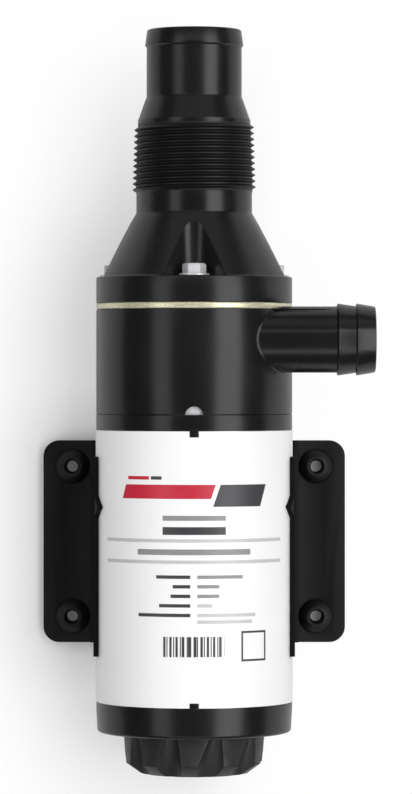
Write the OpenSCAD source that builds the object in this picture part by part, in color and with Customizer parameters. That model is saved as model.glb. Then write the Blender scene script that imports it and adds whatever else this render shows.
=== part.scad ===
// Macerator pump lying on its mounting plate. Millimetres.
// The origin is the centre of the four mounting holes, on the surface that the grommets stand on.
// +Y runs along the pump to the inlet, +X is the side of the discharge port and +Z is up.

/* [Body] */
// Outside diameter of the motor and the pump head
body_d = 76.4; // [74:0.1:84]
// Wall of the motor shell
shell_wall = 3.5; // [3:0.1:4.2]
// Length of the motor shell
shell_length = 105.6; // [102:0.1:130]
// Thickness of the printed label
label_thickness = 0.2; // [0.1:0.05:0.4]
// Distance from the motor shell's rear end to the centre of the mounting plate
plate_from_rear = 60.5; // [54:0.1:64]

/* [Mounting plate] */
// Distance between the mounting holes along the pump
hole_spacing_y = 60; // [52:0.5:70]
// Distance from a mounting hole to the plate's side edge
hole_edge_x = 11.55; // [8.5:0.05:16]
// Distance from a mounting hole to the plate's end edge
hole_edge_y = 10.35; // [8.5:0.05:16]
// Corner radius of the mounting plate
plate_corner = 6.3; // [2:0.1:8]
// Thickness of the mounting plate
plate_thickness = 3; // [2.5:0.1:4]
// Height of the plate's underside above the surface it is screwed to
plate_lift = 5; // [4.5:0.1:7]
// Width of the two ribs that stand beside the saddle
rib_width = 2.2; // [1.4:0.1:3]
// Height of the two ribs above the plate
rib_height = 3; // [1:0.1:6]
// Gap between a rib and the grommets beside it
rib_to_grommet = 0.7; // [0.3:0.1:4]
// Outside diameter of a grommet
grommet_d = 13.7; // [12.4:0.1:15]
// Diameter of the hole through a grommet
grommet_bore = 4.6; // [3.5:0.1:5]
// Diameter of the grommet hole at its countersunk mouth
grommet_mouth = 5.9; // [5.4:0.1:6.6]
// Height of a grommet above its plate
grommet_rise = 4; // [3.4:0.1:5.5]

/* [Saddle] */
// Thickness of the saddle's sheet
saddle_thickness = 1.8; // [1.2:0.1:2.4]
// Length of the saddle along the pump
saddle_length = 77.1; // [70:0.1:84]
// Distance from the centre of the saddle to the centre of the plate, towards the rear
saddle_setback = 4.05; // [0:0.05:6]
// How deep the saddle's arms are let into the sides of the motor
arm_inset = 1.45; // [1.2:0.05:1.7]
// How far the arms reach above the motor's axis
arm_reach = 11; // [8:0.1:14]
// How far the hook on each arm reaches above the arm
hook_rise = 4.3; // [3:0.1:6]
// Length of the hook along the arm
hook_length = 8.8; // [6:0.1:14]
// Distance from the saddle's centre to the hook
hook_offset = 19.5; // [5:0.1:25]
// Radius of the bend between the saddle's floor and its arms
saddle_bend = 3; // [2.4:0.1:6]

/* [Pump head] */
// Height of the front bell's visible band
bell_height = 6.2; // [5.6:0.1:8]
// Height of the pump housing
housing_height = 40.7; // [39.5:0.1:50]
// Thickness of the wear plate
wear_plate_thickness = 2.4; // [1.8:0.1:3]
// Thickness of the inlet housing's flange
flange_thickness = 10.2; // [6:0.1:14]
// Width of the flange's ledge outside the foot of the cone
flange_ledge = 1; // [0.6:0.1:3]
// Height of the inlet housing's cone
cone_height = 25; // [21:0.1:34]
// Diameter of the neck between the cone and the thread
neck_d = 45.1; // [44:0.1:45.2]
// Length of that neck
neck_length = 8.2; // [4:0.1:14]
// Distance from the body's edge to the centre of an inlet bolt
bolt_edge = 7.2; // [6.4:0.1:8]
// Thread diameter of the inlet bolts
bolt_d = 5; // [4:0.1:5.4]
// Width across the flats of the bolt heads
bolt_flats = 8; // [7:0.1:8.4]
// Height of the bolt heads
bolt_head = 3.8; // [3:0.1:5]
// Outside diameter of the washers under the bolt heads
washer_d = 11.8; // [10.4:0.1:12]
// Thickness of those washers
washer_thickness = 0.8; // [0.6:0.1:1.2]
// Number of inlet bolts
bolt_count = 4; // [2:1:4]
// How far an inlet bolt reaches into the front bell
bolt_reach = 3; // [2:0.1:3.4]
// Half the width of a bolt pocket at the foot of the cone
pocket_half_width = 12.4; // [11:0.1:16]

/* [Inlet port] */
// Thread diameter at the large end of the taper
thread_d = 48.3; // [48.1:0.1:49.4]
// Depth of the thread
thread_depth = 1.4; // [1:0.05:1.5]
// Pitch of the thread
thread_pitch = 2.33; // [2.1:0.01:2.6]
// Length of the threaded part
thread_length = 26.5; // [18:0.1:34]
// Outside diameter of the inlet hose tail
inlet_hose_d = 37.1; // [34:0.1:38.6]
// Length of the hose tail from its foot to its lip
inlet_hose_length = 19.7; // [12:0.1:30]
// Wall of the hose tail
inlet_hose_wall = 3.05; // [2:0.05:4]
// How far the lip stands out from the hose tail
inlet_lip_rise = 0.6; // [0.3:0.05:1.5]
// Length of the lip
inlet_lip_length = 6.6; // [4:0.1:10]

/* [Discharge port] */
// Outside diameter of the discharge hose tail
discharge_d = 25.6; // [24:0.1:28]
// Bore of the discharge port
discharge_bore = 18.4; // [15:0.1:20]
// How far the ridges stand out from the discharge hose tail
discharge_ridge_rise = 1.1; // [0.4:0.05:2]
// Length of one ridge of the discharge hose tail
discharge_ridge_length = 7.1; // [5:0.1:9]
// Distance from the pump's axis to the end of the discharge port
discharge_reach = 69.9; // [64:0.1:80]
// How far the discharge bore runs out past the wall of the pumping chamber
volute_step = 2; // [1:0.1:2.6]

/* [Impeller and cutter] */
// Gap between the impeller's rim and the wall of the pumping chamber
impeller_gap = 2.5; // [1.5:0.1:5]
// Thickness of the impeller's disc
impeller_disc = 2.5; // [2:0.1:3.5]
// Number of impeller vanes
vane_count = 5; // [3:1:7]
// Thickness of a vane
vane_thickness = 2.2; // [1.6:0.1:3]
// Diameter of the eye in the wear plate
eye_d = 23; // [20:0.1:26]
// Gap between the cutter's tips and the wall of the inlet chamber
cutter_gap = 2.5; // [1.5:0.1:5]
// Thickness of the cutter blade
cutter_thickness = 3; // [2:0.1:4]

/* [Motor] */
// Shaft diameter
shaft_d = 8; // [7.6:0.1:8.4]
// Outside diameter of the ball bearings
bearing_d = 22; // [21.4:0.1:23]
// Width of the ball bearings
bearing_width = 7; // [6.4:0.1:7.4]
// Diameter of a ball
ball_d = 3.969; // [3.5:0.001:4.1]
// Number of balls in a bearing
ball_count = 7; // [6, 7]
// Thickness of a magnet
magnet_thickness = 5.95; // [4:0.05:6.4]
// Length of a magnet
magnet_length = 64; // [50:0.5:66]
// Length of the armature's core
core_length = 60; // [50:0.5:62]
// Air gap between the armature and the magnets
air_gap = 0.8; // [0.5:0.1:1.5]
// Number of armature slots and commutator bars
slot_count = 12; // [8:1:14]
// Diameter of the commutator
commutator_d = 24; // [22:0.1:25]
// Length of the commutator's bars
commutator_length = 13; // [12:0.1:14]
// Width of a brush across the pump
brush_width = 8; // [6:0.1:9]
// Height of a brush along the pump
brush_height = 6; // [5:0.1:6.6]
// Length of a new brush
brush_length = 10.9; // [8:0.1:11.4]
// Where the core stands in its free space, from 0 at the commutator to 1 at the front bearing
core_place = 0.6; // [0.4:0.05:0.8]
// Diameter of the motor's two through bolts
through_bolt_d = 4.9; // [4:0.1:5]

/* [Rear end] */
// Height of the rear bell
rear_bell_height = 11.9; // [11.4:0.1:16]
// Diameter of the turning knob at its rim
knob_d = 55; // [48:0.1:58]
// Height of the turning knob
knob_height = 15.4; // [14.6:0.1:22]
// Number of flutes round the knob
flute_count = 10; // [8:1:12]
// Width of a flute at the knob's rim
flute_width = 7.1; // [5:0.1:8]
// Depth of a flute
flute_depth = 2.4; // [1:0.1:2.8]
// Gap between the knob and the rear bell
knob_gap = 0.5; // [0.3:0.1:1.5]
// Diameter of the gland for the motor's leads
lead_gland_d = 11; // [9:0.1:12]

/* [Fits] */
// Gap between a shaft and the pieces carried on it
shaft_fit = 0.02; // [0.01:0.01:0.05]
// Gap round a spigot, a bolt or an insert that stays put
seat_fit = 0.05; // [0.02:0.01:0.1]
// Gap round a bolt in a plain hole
hole_fit = 0.25; // [0.1:0.05:0.4]
// Gap between a brush and its holder
brush_fit = 0.15; // [0.1:0.01:0.25]
// Gap between a bearing's balls and their races
ball_fit = 0.05; // [0.03:0.01:0.06]

/* [Hidden] */
$fn = 96;

// Radii that follow from the body's diameter, from the outside in
body_r = body_d / 2;
shell_r = body_r - shell_wall;
label_r = body_r + seat_fit / 5 + label_thickness;
flat_x = body_r - arm_inset;
saddle_x = flat_x + seat_fit + saddle_thickness;
bolt_circle_r = body_r - bolt_edge;
bolt_hole_r = bolt_d / 2 + hole_fit;
o_ring_width = 2.8;
o_ring_depth = 1.6;
o_ring_land = 0.65;
o_ring_outer_r = bolt_circle_r - bolt_hole_r - o_ring_land;
o_ring_inner_r = o_ring_outer_r - o_ring_width;
chamber_r = o_ring_inner_r - 0.8;
impeller_r = chamber_r - impeller_gap;
shaft_r = shaft_d / 2;

// Stations along the pump's axis, from the rear end to the inlet
z_shell_rear = -plate_from_rear;
z_shell_front = z_shell_rear + shell_length;
z_bell_top = z_shell_front + bell_height;
z_housing_top = z_bell_top + housing_height;
z_wear_top = z_housing_top + wear_plate_thickness;
z_flange_top = z_wear_top + flange_thickness;
z_cone_top = z_flange_top + cone_height;
z_thread = z_cone_top + neck_length;
z_thread_top = z_thread + thread_length;
z_rear = z_shell_rear - rear_bell_height;
z_knob_top = z_rear - knob_gap;
z_knob_end = z_knob_top - knob_height;
z_bolt_tip = z_bell_top - bolt_reach;
z_through_tip = z_bolt_tip - 1.4;
tip_room = 0.2;
spigot = 3;
bell_spigot = 4.1;
tab_width = 3.4;
tab_length = 3;

// Bearings, one in each bell
bearing_r = bearing_d / 2;
pitch_r = (bearing_r + shaft_r) / 2;
race_half_gap = 1.35;
boss_r = bearing_r + 3.5;
z_front_bearing = z_bell_top - 1.8 - bearing_width;
wave_washer_height = 0.8;
rear_floor = 1.6;
z_rear_bearing = z_rear + rear_floor + wave_washer_height;

// Pumping chamber, discharge port and shaft seal
z_port = z_housing_top - discharge_d / 2 + 1;
z_chamber_floor = z_port - discharge_bore / 2 - 1.7;
port_y = -(chamber_r + volute_step - discharge_bore / 2);
seal_cup_r = 12.5;
seal_ring_r = 9;
seal_bore_r = shaft_r + 1.5;
seal_depth = 4.5;
seal_gap = 0.05;
z_seal_face = z_chamber_floor + 0.3 + seal_gap;
seal_face_height = 2.5;
seal_height = 7.5;
weep_r = 27;
z_weep_top = z_chamber_floor - 7;

// Rotating stack on the shaft's front end
z_impeller = z_chamber_floor + seal_height;
z_impeller_top = z_housing_top - 0.7;
thread_end_r = shaft_r - 1;
z_cutter = z_wear_top + 0.4;
z_cutter_top = z_cutter + cutter_thickness;
cutter_washer_height = 1;
cutter_nut_height = 5;
z_shaft_front = z_cutter_top + cutter_washer_height + cutter_nut_height + 1.8;
hub_r = shaft_r + 3;

// Inside of the inlet housing
pocket_round = washer_d / 2 + hole_fit;
pocket_root_r = bolt_circle_r - pocket_round;
pocket_wall = 2.85;
inlet_chamber_r = pocket_root_r - pocket_wall;
inlet_bore_r = inlet_hose_d / 2 - inlet_hose_wall;
z_inlet_chamber = z_flange_top + 13.4;
z_inlet_bore = z_cone_top + 1.4;
cone_foot_r = body_r - flange_ledge;
neck_r = neck_d / 2;
thread_taper = 1 / 32;
crest_half = 0.1;
core_foot_r = thread_d / 2 - thread_depth;
core_top_r = core_foot_r - thread_length * thread_taper;
collar_length = 1.8;
hose_taper_length = 8.6;

// Motor inside
magnet_r = shell_r - seat_fit;
magnet_inner_r = magnet_r - magnet_thickness;
core_r = magnet_inner_r - air_gap;
magnet_half_angle = 65;
end_turn = 8;
commutator_r = commutator_d / 2;
z_brush_plate = z_shell_rear + spigot;
brush_plate_thickness = 2;
plate_thread_r = 1.5;
plate_screw_length = 8;
plate_screw_head_r = 2.8;
plate_screw_head = 2;
plate_boss_r = 3.8;
z_holder = z_brush_plate + brush_plate_thickness + seat_fit;
holder_wall = 1.2;
holder_height = brush_height + 2 * brush_fit + 2 * holder_wall;
z_brush = z_holder + holder_height / 2;
z_commutator = z_brush - commutator_length / 2;
z_commutator_top = z_commutator + commutator_length;
core_space = z_front_bearing - z_commutator_top - core_length - 2 * end_turn;
z_core = z_commutator_top + end_turn + core_space * core_place;
holder_end = shell_r - 2.2;
through_bolt_x = shell_r - 3.2;
plate_screw_r = 25;
brush_gap = 0.1;
spring_d = 4.6;
spring_wire = 0.7;

// Heights above the surface that the grommets stand on
plate_top = plate_lift + plate_thickness;
saddle_floor_top = plate_top + seat_fit + saddle_thickness;
axis_height = saddle_floor_top + seat_fit + label_r;
rib_x = saddle_x + 0.4;
hole_x = rib_x + rib_width + rib_to_grommet + grommet_d / 2;
hole_y = hole_spacing_y / 2;
plate_x = hole_x + hole_edge_x;
plate_y = hole_y + hole_edge_y;
grommet_neck_r = grommet_d / 2 - 1.9;
saddle_screw_x = flat_x - 11.75;
saddle_screw_y = 26;
screw_r = 2;
screw_head_r = 3.6;
screw_head = 2.4;
nut_flats = 7;
nut_height = 3.2;
knob_screw_length = 11;
shaft_flat = 0.8;
through_bolt_flats = 8;
through_bolt_head = 3.6;
through_pocket_r = 5.2;
through_pocket = 4.2;

// Stands the pump's own axis, local z, along the row's +Y. Its front, local -y, faces up.
module on_axis() {
    translate([0, 0, axis_height])
        rotate([-90, 0, 0])
            children();
}

module ring(outer_r, inner_r, low, high) {
    translate([0, 0, low])
        linear_extrude(high - low)
            difference() {
                circle(outer_r);
                circle(inner_r);
            }
}

module rod(radius, low, high) {
    translate([0, 0, low])
        cylinder(r = radius, h = high - low);
}

module hexagon(flats, low, high) {
    translate([0, 0, low])
        cylinder(r = flats / sqrt(3), h = high - low, $fn = 6);
}

// The inlet bolts' places: the first is at the front, the rest evenly round the axis
module at_inlet_bolts() {
    for (i = [0 : bolt_count - 1])
        rotate([0, 0, i * 360 / bolt_count])
            translate([0, -bolt_circle_r, 0])
                children();
}

module at_through_bolts() {
    for (side = [-1, 1])
        translate([side * through_bolt_x, 0, 0])
            children();
}

module at_plate_screws() {
    for (angle = [45, 225])
        rotate([0, 0, angle])
            translate([plate_screw_r, 0, 0])
                children();
}

// A closed solid through a list of rings of points, each ring with as many points as the next
module swept(rings) {
    count = len(rings);
    sides = len(rings[0]);
    walls = [
        for (i = [0 : count - 2], j = [0 : sides - 1])
            let (a = i * sides + j, b = i * sides + (j + 1) % sides)
                each [[a, b, b + sides], [a, b + sides, a + sides]]
    ];
    first_cap = [[for (j = [sides - 1 : -1 : 0]) j]];
    last_cap = [[for (j = [0 : sides - 1]) (count - 1) * sides + j]];
    polyhedron(points = [for (ring = rings) each ring], faces = concat(walls, first_cap, last_cap));
}

// A point at a radius, an angle and a height
function polar(radius, angle, height) = [radius * cos(angle), radius * sin(angle), height];

// A coil spring standing on z = 0, as one unbroken tube
module coil(coil_d, wire_d, height, turns) {
    steps = 14;
    sides = 6;
    mean_r = (coil_d - wire_d) / 2;
    wire_r = wire_d / 2;
    climb = (height - wire_d) / (turns * steps);
    swept([
        for (i = [0 : turns * steps])
            [for (j = [0 : sides - 1])
                polar(mean_r + wire_r * cos(-j * 360 / sides), i * 360 / steps,
                      wire_r + i * climb + wire_r * sin(-j * 360 / sides))]
    ]);
}

// Half outline of the tapered pipe thread, its crests drawn as rings one pitch apart
function thread_outline() = [
    for (i = [0 : floor(thread_length / thread_pitch) - 1])
        let (
            low = z_thread + i * thread_pitch,
            core = core_foot_r - i * thread_pitch * thread_taper,
            middle = low + thread_pitch / 2
        )
        each [[core, low], [core + thread_depth, middle - crest_half],
              [core + thread_depth, middle + crest_half]]
];

// V-shaped pocket with a round root about an inlet bolt at the front, with room for its washer
module bolt_pocket() {
    foot_y = sqrt(cone_foot_r ^ 2 - pocket_half_width ^ 2);
    rise = foot_y - bolt_circle_r;
    root_angle = acos(pocket_round / norm([pocket_half_width, rise]))
                 - atan2(rise, pocket_half_width);
    facets = 12;
    root = [
        for (i = [0 : facets])
            let (turn = (90 - root_angle) * (2 * i / facets - 1))
                [pocket_round * sin(turn), pocket_round * cos(turn) - bolt_circle_r]
    ];
    wall = root[facets];
    far_x = pocket_half_width + body_r / 2;
    far_y = wall.y - (far_x - wall.x) * (foot_y + wall.y) / (pocket_half_width - wall.x);
    translate([0, 0, z_flange_top])
        linear_extrude(cone_height)
            polygon([[-far_x, far_y], each root, [far_x, far_y]]);
}

module inlet_housing() {
    lip_r = inlet_hose_d / 2 + inlet_lip_rise;
    hose_r = inlet_hose_d / 2;
    z_collar = z_thread_top + collar_length;
    z_hose = z_collar + hose_taper_length;
    z_lip = z_hose + inlet_hose_length;
    z_end = z_lip + inlet_lip_length;
    color("#1d1d1f")
        on_axis()
            difference() {
                rotate_extrude()
                    polygon(concat([
                        [inlet_chamber_r, z_wear_top], [body_r - 0.3, z_wear_top],
                        [body_r, z_wear_top + 0.3], [body_r, z_flange_top - 0.5],
                        [body_r - 0.5, z_flange_top], [cone_foot_r, z_flange_top],
                        [neck_r, z_cone_top], [neck_r, z_thread]
                    ], thread_outline(), [
                        [core_top_r, z_thread_top], [core_top_r, z_collar],
                        [hose_r, z_hose], [hose_r, z_lip],
                        [lip_r, z_lip + 0.6], [hose_r - 0.15, z_end - 0.4],
                        [hose_r - 0.6, z_end], [inlet_bore_r, z_end],
                        [inlet_bore_r, z_inlet_bore], [inlet_chamber_r, z_inlet_chamber]
                    ]));
                for (i = [0 : bolt_count - 1])
                    rotate([0, 0, i * 360 / bolt_count])
                        bolt_pocket();
                at_inlet_bolts()
                    rod(bolt_hole_r, z_wear_top - 1, z_flange_top + 1);
                ring(o_ring_outer_r, o_ring_inner_r, z_wear_top - 1, z_wear_top + o_ring_depth);
            }
}

module inlet_bolts() {
    z_head = z_flange_top + washer_thickness + seat_fit;
    color("#b9bcc0")
        on_axis()
            at_inlet_bolts() {
                hexagon(bolt_flats, z_head, z_head + bolt_head);
                rod(bolt_d / 2, z_bolt_tip, z_head + 1);
            }
}

module inlet_bolt_washers() {
    color("#a9adb2")
        on_axis()
            at_inlet_bolts()
                ring(washer_d / 2, bolt_hole_r, z_flange_top, z_flange_top + washer_thickness);
}

// A rubber ring squeezed flat in its groove
module o_ring(z_floor) {
    color("#26262a")
        on_axis()
            translate([0, 0, z_floor])
                rotate_extrude()
                    translate([(o_ring_outer_r + o_ring_inner_r) / 2, 0])
                        intersection() {
                            translate([0, o_ring_depth / 2])
                                circle(o_ring_width / 2 - seat_fit, $fn = 32);
                            translate([-o_ring_width, 0])
                                square([2 * o_ring_width, o_ring_depth]);
                        }
}

// Polished plate between the inlet and the pump housing. Its notched eye shears what passes.
module wear_plate() {
    rim_r = body_r - 0.2;
    half = wear_plate_thickness / 2;
    color("#c9c7a4")
        on_axis()
            difference() {
                union() {
                    rod(rim_r - half, z_housing_top, z_wear_top);
                    translate([0, 0, z_housing_top + half])
                        rotate_extrude()
                            translate([rim_r - half, 0])
                                circle(half, $fn = 48);
                }
                rod(eye_d / 2, z_housing_top - 1, z_wear_top + 1);
                for (i = [0 : 5])
                    rotate([0, 0, i * 60])
                        translate([0, -1.2, z_housing_top - 1])
                            cube([eye_d / 2 + 2, 2.4, wear_plate_thickness + 2]);
                at_inlet_bolts()
                    rod(bolt_hole_r, z_housing_top - 1, z_wear_top + 1);
            }
}

// The discharge hose tail as a solid of revolution along local x, without its bore
module discharge_tail() {
    tube_r = discharge_d / 2;
    ridge_r = tube_r + discharge_ridge_rise;
    x_second = discharge_reach - discharge_ridge_length - 0.2;
    x_first = x_second - discharge_ridge_length - 0.1;
    translate([0, port_y, z_port])
        rotate([0, 90, 0])
            rotate_extrude()
                polygon([
                    [0, 0], [tube_r, 0], [tube_r, x_first - 0.5],
                    [ridge_r, x_first], [tube_r + 0.1, x_second - 0.3], [tube_r + 0.1, x_second - 0.1],
                    [ridge_r, x_second], [tube_r, discharge_reach - 0.7],
                    [tube_r - 0.7, discharge_reach], [0, discharge_reach]
                ]);
}

module pump_housing() {
    notch_r = 3.45;
    color("#1b1b1d")
        on_axis()
            difference() {
                union() {
                    rotate_extrude()
                        polygon([
                            [0, z_bell_top], [body_r - 0.3, z_bell_top], [body_r, z_bell_top + 0.3],
                            [body_r, z_housing_top - 0.3], [body_r - 0.3, z_housing_top],
                            [0, z_housing_top]
                        ]);
                    difference() {
                        discharge_tail();
                        rod(body_r + 0.05, z_housing_top, z_wear_top + 2);
                    }
                }
                rod(chamber_r, z_chamber_floor, z_housing_top + 1);
                translate([0, port_y, z_port])
                    rotate([0, 90, 0])
                        rod(discharge_bore / 2, 0, discharge_reach + 1);
                rod(seal_cup_r + seat_fit, z_chamber_floor - seal_depth, z_chamber_floor + 1);
                rod(seal_bore_r, z_weep_top - 1, z_chamber_floor);
                rod(weep_r, z_bell_top - 1, z_weep_top);
                rod(body_r - 2.2, z_bell_top - 1, z_bell_top + bell_spigot + 0.2);
                at_inlet_bolts()
                    rod(bolt_hole_r, z_bell_top, z_housing_top + 1);
                ring(o_ring_outer_r, o_ring_inner_r, z_housing_top - o_ring_depth, z_housing_top + 1);
                translate([0, -body_r - 1, z_bell_top - 0.25])
                    rotate([-90, 0, 0])
                        cylinder(r = notch_r, h = 4);
            }
}

module cutter_blade() {
    tip_r = inlet_chamber_r - cutter_gap;
    leading = hub_r / 2;
    trailing = hub_r * 0.43;
    grind = 4;
    color("#aeb1b5")
        on_axis()
            difference() {
                intersection() {
                    translate([0, 0, z_cutter])
                        linear_extrude(cutter_thickness) {
                            circle(hub_r + 1.5);
                            for (turn = [0, 180])
                                rotate([0, 0, turn])
                                    polygon([[0, -hub_r], [tip_r, -leading], [tip_r + 1, trailing],
                                             [0, hub_r]]);
                        }
                    rod(tip_r, z_cutter, z_cutter_top);
                }
                rod(thread_end_r + shaft_fit, z_cutter - 1, z_cutter_top + 1);
                for (turn = [0, 180])
                    rotate([0, 0, turn])
                        translate([hub_r + 3, -leading, z_cutter_top])
                            rotate([45, 0, 0])
                                translate([0, -grind, -grind / 2])
                                    cube([tip_r, grind, grind]);
            }
}

module cutter_nut() {
    z_nut = z_cutter_top + cutter_washer_height + seat_fit;
    color("#b9bcc0")
        on_axis()
            difference() {
                hexagon(shaft_d + 2, z_nut, z_nut + cutter_nut_height);
                rod(thread_end_r + shaft_fit, z_nut - 1, z_nut + cutter_nut_height + 1);
            }
}

module cutter_washer() {
    color("#a9adb2")
        on_axis()
            ring(hub_r - 1, thread_end_r + shaft_fit, z_cutter_top + seat_fit / 2,
                 z_cutter_top + cutter_washer_height);
}

module cutter_spacer() {
    color("#9da1a6")
        on_axis()
            ring(hub_r - 0.8, shaft_r + shaft_fit, z_impeller_top + seat_fit, z_cutter - seat_fit);
}

// One backward-curved vane, drawn as part of a ring that ends just inside the impeller's rim
module vane_outline() {
    bend_r = impeller_r * 0.72;
    intersection() {
        translate([0, bend_r])
            difference() {
                circle(bend_r + vane_thickness / 2);
                circle(bend_r - vane_thickness / 2);
            }
        difference() {
            circle(impeller_r - 0.3);
            circle(hub_r - 0.5);
        }
        translate([0, -vane_thickness])
            square([impeller_r, impeller_r + vane_thickness]);
    }
}

module impeller() {
    color("#33363a")
        on_axis()
            difference() {
                union() {
                    rod(impeller_r, z_impeller, z_impeller + impeller_disc);
                    rod(hub_r, z_impeller, z_impeller_top);
                    translate([0, 0, z_impeller])
                        linear_extrude(z_impeller_top - z_impeller)
                            for (i = [0 : vane_count - 1])
                                rotate([0, 0, i * 360 / vane_count])
                                    vane_outline();
                }
                rod(shaft_r + shaft_fit, z_impeller - 1, z_impeller_top + 1);
                translate([0, 0, z_impeller + impeller_disc + 3])
                    rotate([0, 90, 0])
                        rod(1.25 + seat_fit, -hub_r - 1, hub_r + 1);
            }
}

module impeller_pin() {
    color("#c3c6ca")
        on_axis()
            translate([0, 0, z_impeller + impeller_disc + 3])
                rotate([0, 90, 0])
                    rod(1.25, 0.2 - hub_r, hub_r - 0.2);
}

module seal_cup() {
    color("#2b2b2e")
        on_axis()
            ring(seal_cup_r, seal_ring_r + seat_fit, z_chamber_floor - seal_depth, z_chamber_floor);
}

module seal_ring() {
    color("#e4e0d6")
        on_axis()
            ring(seal_ring_r, seal_bore_r, z_chamber_floor - seal_depth, z_chamber_floor + 0.3);
}

module seal_face() {
    color("#3a3a3c")
        on_axis()
            ring(seal_ring_r - 0.5, shaft_r + shaft_fit, z_seal_face, z_seal_face + seal_face_height);
}

module seal_spring() {
    spring_foot = z_seal_face + seal_face_height + seat_fit;
    color("#c3c6ca")
        on_axis()
            translate([0, 0, spring_foot])
                coil(2 * shaft_r + 5, 0.9, z_impeller - spring_foot - seat_fit, 2);
}

module slinger() {
    color("#2b2b2e")
        on_axis()
            ring(shaft_r + 5, shaft_r + shaft_fit, z_bell_top + 6, z_bell_top + 7.5);
}

// The tab on a bell that keys into the motor shell at the front
module key_tab(low, high) {
    intersection() {
        ring(label_r, shell_r - 1, low, high);
        translate([-tab_width / 2, -body_r - 2, low])
            cube([tab_width, 8, high - low]);
    }
}

module front_bell() {
    spigot_inner_r = through_bolt_x - through_bolt_d / 2 - 2;
    color("#1e1e20")
        on_axis()
            difference() {
                union() {
                    rotate_extrude()
                        polygon([
                            [0, z_shell_front + 1], [body_r - 4, z_shell_front + 1],
                            [body_r - 4, z_shell_front], [body_r, z_shell_front],
                            [body_r, z_bell_top - 0.2], [body_r - 0.2, z_bell_top], [0, z_bell_top]
                        ]);
                    ring(body_r - 2.2 - seat_fit, weep_r, z_bell_top - 1, z_bell_top + bell_spigot);
                    ring(shell_r - 2 * seat_fit, spigot_inner_r, z_shell_front - spigot,
                         z_shell_front + 2);
                    rod(boss_r, z_front_bearing, z_bell_top);
                    key_tab(z_shell_front - tab_length, z_shell_front);
                }
                rod(bearing_r + shaft_fit, z_front_bearing - 1, z_front_bearing + bearing_width);
                rod(shaft_r + 4.5, z_front_bearing, z_bell_top + 1);
                at_inlet_bolts()
                    rod(bolt_d / 2 + seat_fit, z_bolt_tip - tip_room, z_bell_top + bell_spigot + 1);
                at_through_bolts()
                    rod(through_bolt_d / 2 + seat_fit, z_shell_front - spigot - 1,
                        z_through_tip + tip_room);
            }
}

// Ball bearing, drawn with its rear face at z = 0
module race_groove() {
    rotate_extrude()
        translate([pitch_r, bearing_width / 2])
            circle(ball_d / 2 + ball_fit, $fn = 48);
}

module outer_race(z) {
    color("#b4b8bd")
        on_axis()
            translate([0, 0, z])
                difference() {
                    ring(bearing_r, pitch_r + race_half_gap, 0, bearing_width);
                    race_groove();
                }
}

module inner_race(z) {
    color("#b4b8bd")
        on_axis()
            translate([0, 0, z])
                difference() {
                    ring(pitch_r - race_half_gap, shaft_r + shaft_fit, 0, bearing_width);
                    race_groove();
                }
}

module at_balls(z) {
    translate([0, 0, z + bearing_width / 2])
        for (i = [0 : ball_count - 1])
            rotate([0, 0, i * 360 / ball_count])
                translate([pitch_r, 0, 0])
                    children();
}

module balls(z) {
    color("#d5d8dc")
        on_axis()
            at_balls(z)
                sphere(ball_d / 2);
}

module ball_cage(z) {
    half_width = race_half_gap - 0.25;
    margin = (bearing_width - ball_d) / 2 - 0.95;
    color("#b08d4a")
        on_axis()
            difference() {
                ring(pitch_r + half_width, pitch_r - half_width, z + margin, z + bearing_width - margin);
                at_balls(z)
                    rotate([0, 90, 0])
                        cylinder(r = ball_d / 2 + 0.1, h = 4 * half_width, center = true);
            }
}

module motor_shaft() {
    color("#b9bcc0")
        on_axis()
            difference() {
                union() {
                    rod(shaft_r, z_knob_end + 4.3, z_cutter);
                    rod(thread_end_r, z_cutter - 1, z_shaft_front);
                }
                translate([0, 0, z_impeller + impeller_disc + 3])
                    rotate([0, 90, 0])
                        rod(1.25 + seat_fit, -hub_r, hub_r);
                rod(screw_r + seat_fit, z_knob_end, z_knob_end + knob_screw_length + 3);
                translate([shaft_r - shaft_flat, -shaft_r, z_knob_end])
                    cube([shaft_r, shaft_d, z_rear - z_knob_end]);
            }
}

module slot_outline(slack) {
    for (i = [0 : slot_count - 1])
        rotate([0, 0, i * 360 / slot_count])
            translate([core_r * 0.52 + slack, -core_r * 0.08 + slack])
                square([core_r * 0.42 - 2 * slack, core_r * 0.16 - 2 * slack]);
}

module armature_core() {
    slot_mouth = 2;
    color("#6c6f73")
        on_axis()
            translate([0, 0, z_core])
                linear_extrude(core_length)
                    difference() {
                        circle(core_r);
                        circle(shaft_r + shaft_fit);
                        slot_outline(0);
                        for (i = [0 : slot_count - 1])
                            rotate([0, 0, i * 360 / slot_count])
                                translate([core_r * 0.9, -slot_mouth / 2])
                                    square([core_r * 0.2, slot_mouth]);
                    }
}

// Copper in the slots, joined by the end turns at both ends of the core
module armature_windings() {
    color("#b5652b")
        on_axis() {
            translate([0, 0, z_core - 1])
                linear_extrude(core_length + 2)
                    slot_outline(0.1);
            for (low = [z_core - end_turn, z_core + core_length + 0.1])
                ring(core_r * 0.94, core_r * 0.4, low, low + end_turn - 0.1);
        }
}

module commutator_hub() {
    color("#5a3d2a")
        on_axis()
            ring(commutator_r - 3.4, shaft_r + shaft_fit, z_commutator - 1, z_commutator_top + 1);
}

module commutator_bars() {
    riser = 1.8;
    bar_gap = 0.6;
    color("#c07a3c")
        on_axis()
            difference() {
                union() {
                    rod(commutator_r, z_commutator, z_commutator_top);
                    rod(commutator_r + riser, z_commutator_top - riser, z_commutator_top);
                }
                rod(commutator_r - 3.4 + seat_fit, z_commutator - 1, z_commutator_top + 1);
                for (i = [0 : slot_count - 1])
                    rotate([0, 0, i * 360 / slot_count])
                        translate([0, -bar_gap / 2, z_commutator - 1])
                            cube([commutator_r + 5, bar_gap, commutator_length + 2]);
            }
}

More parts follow.
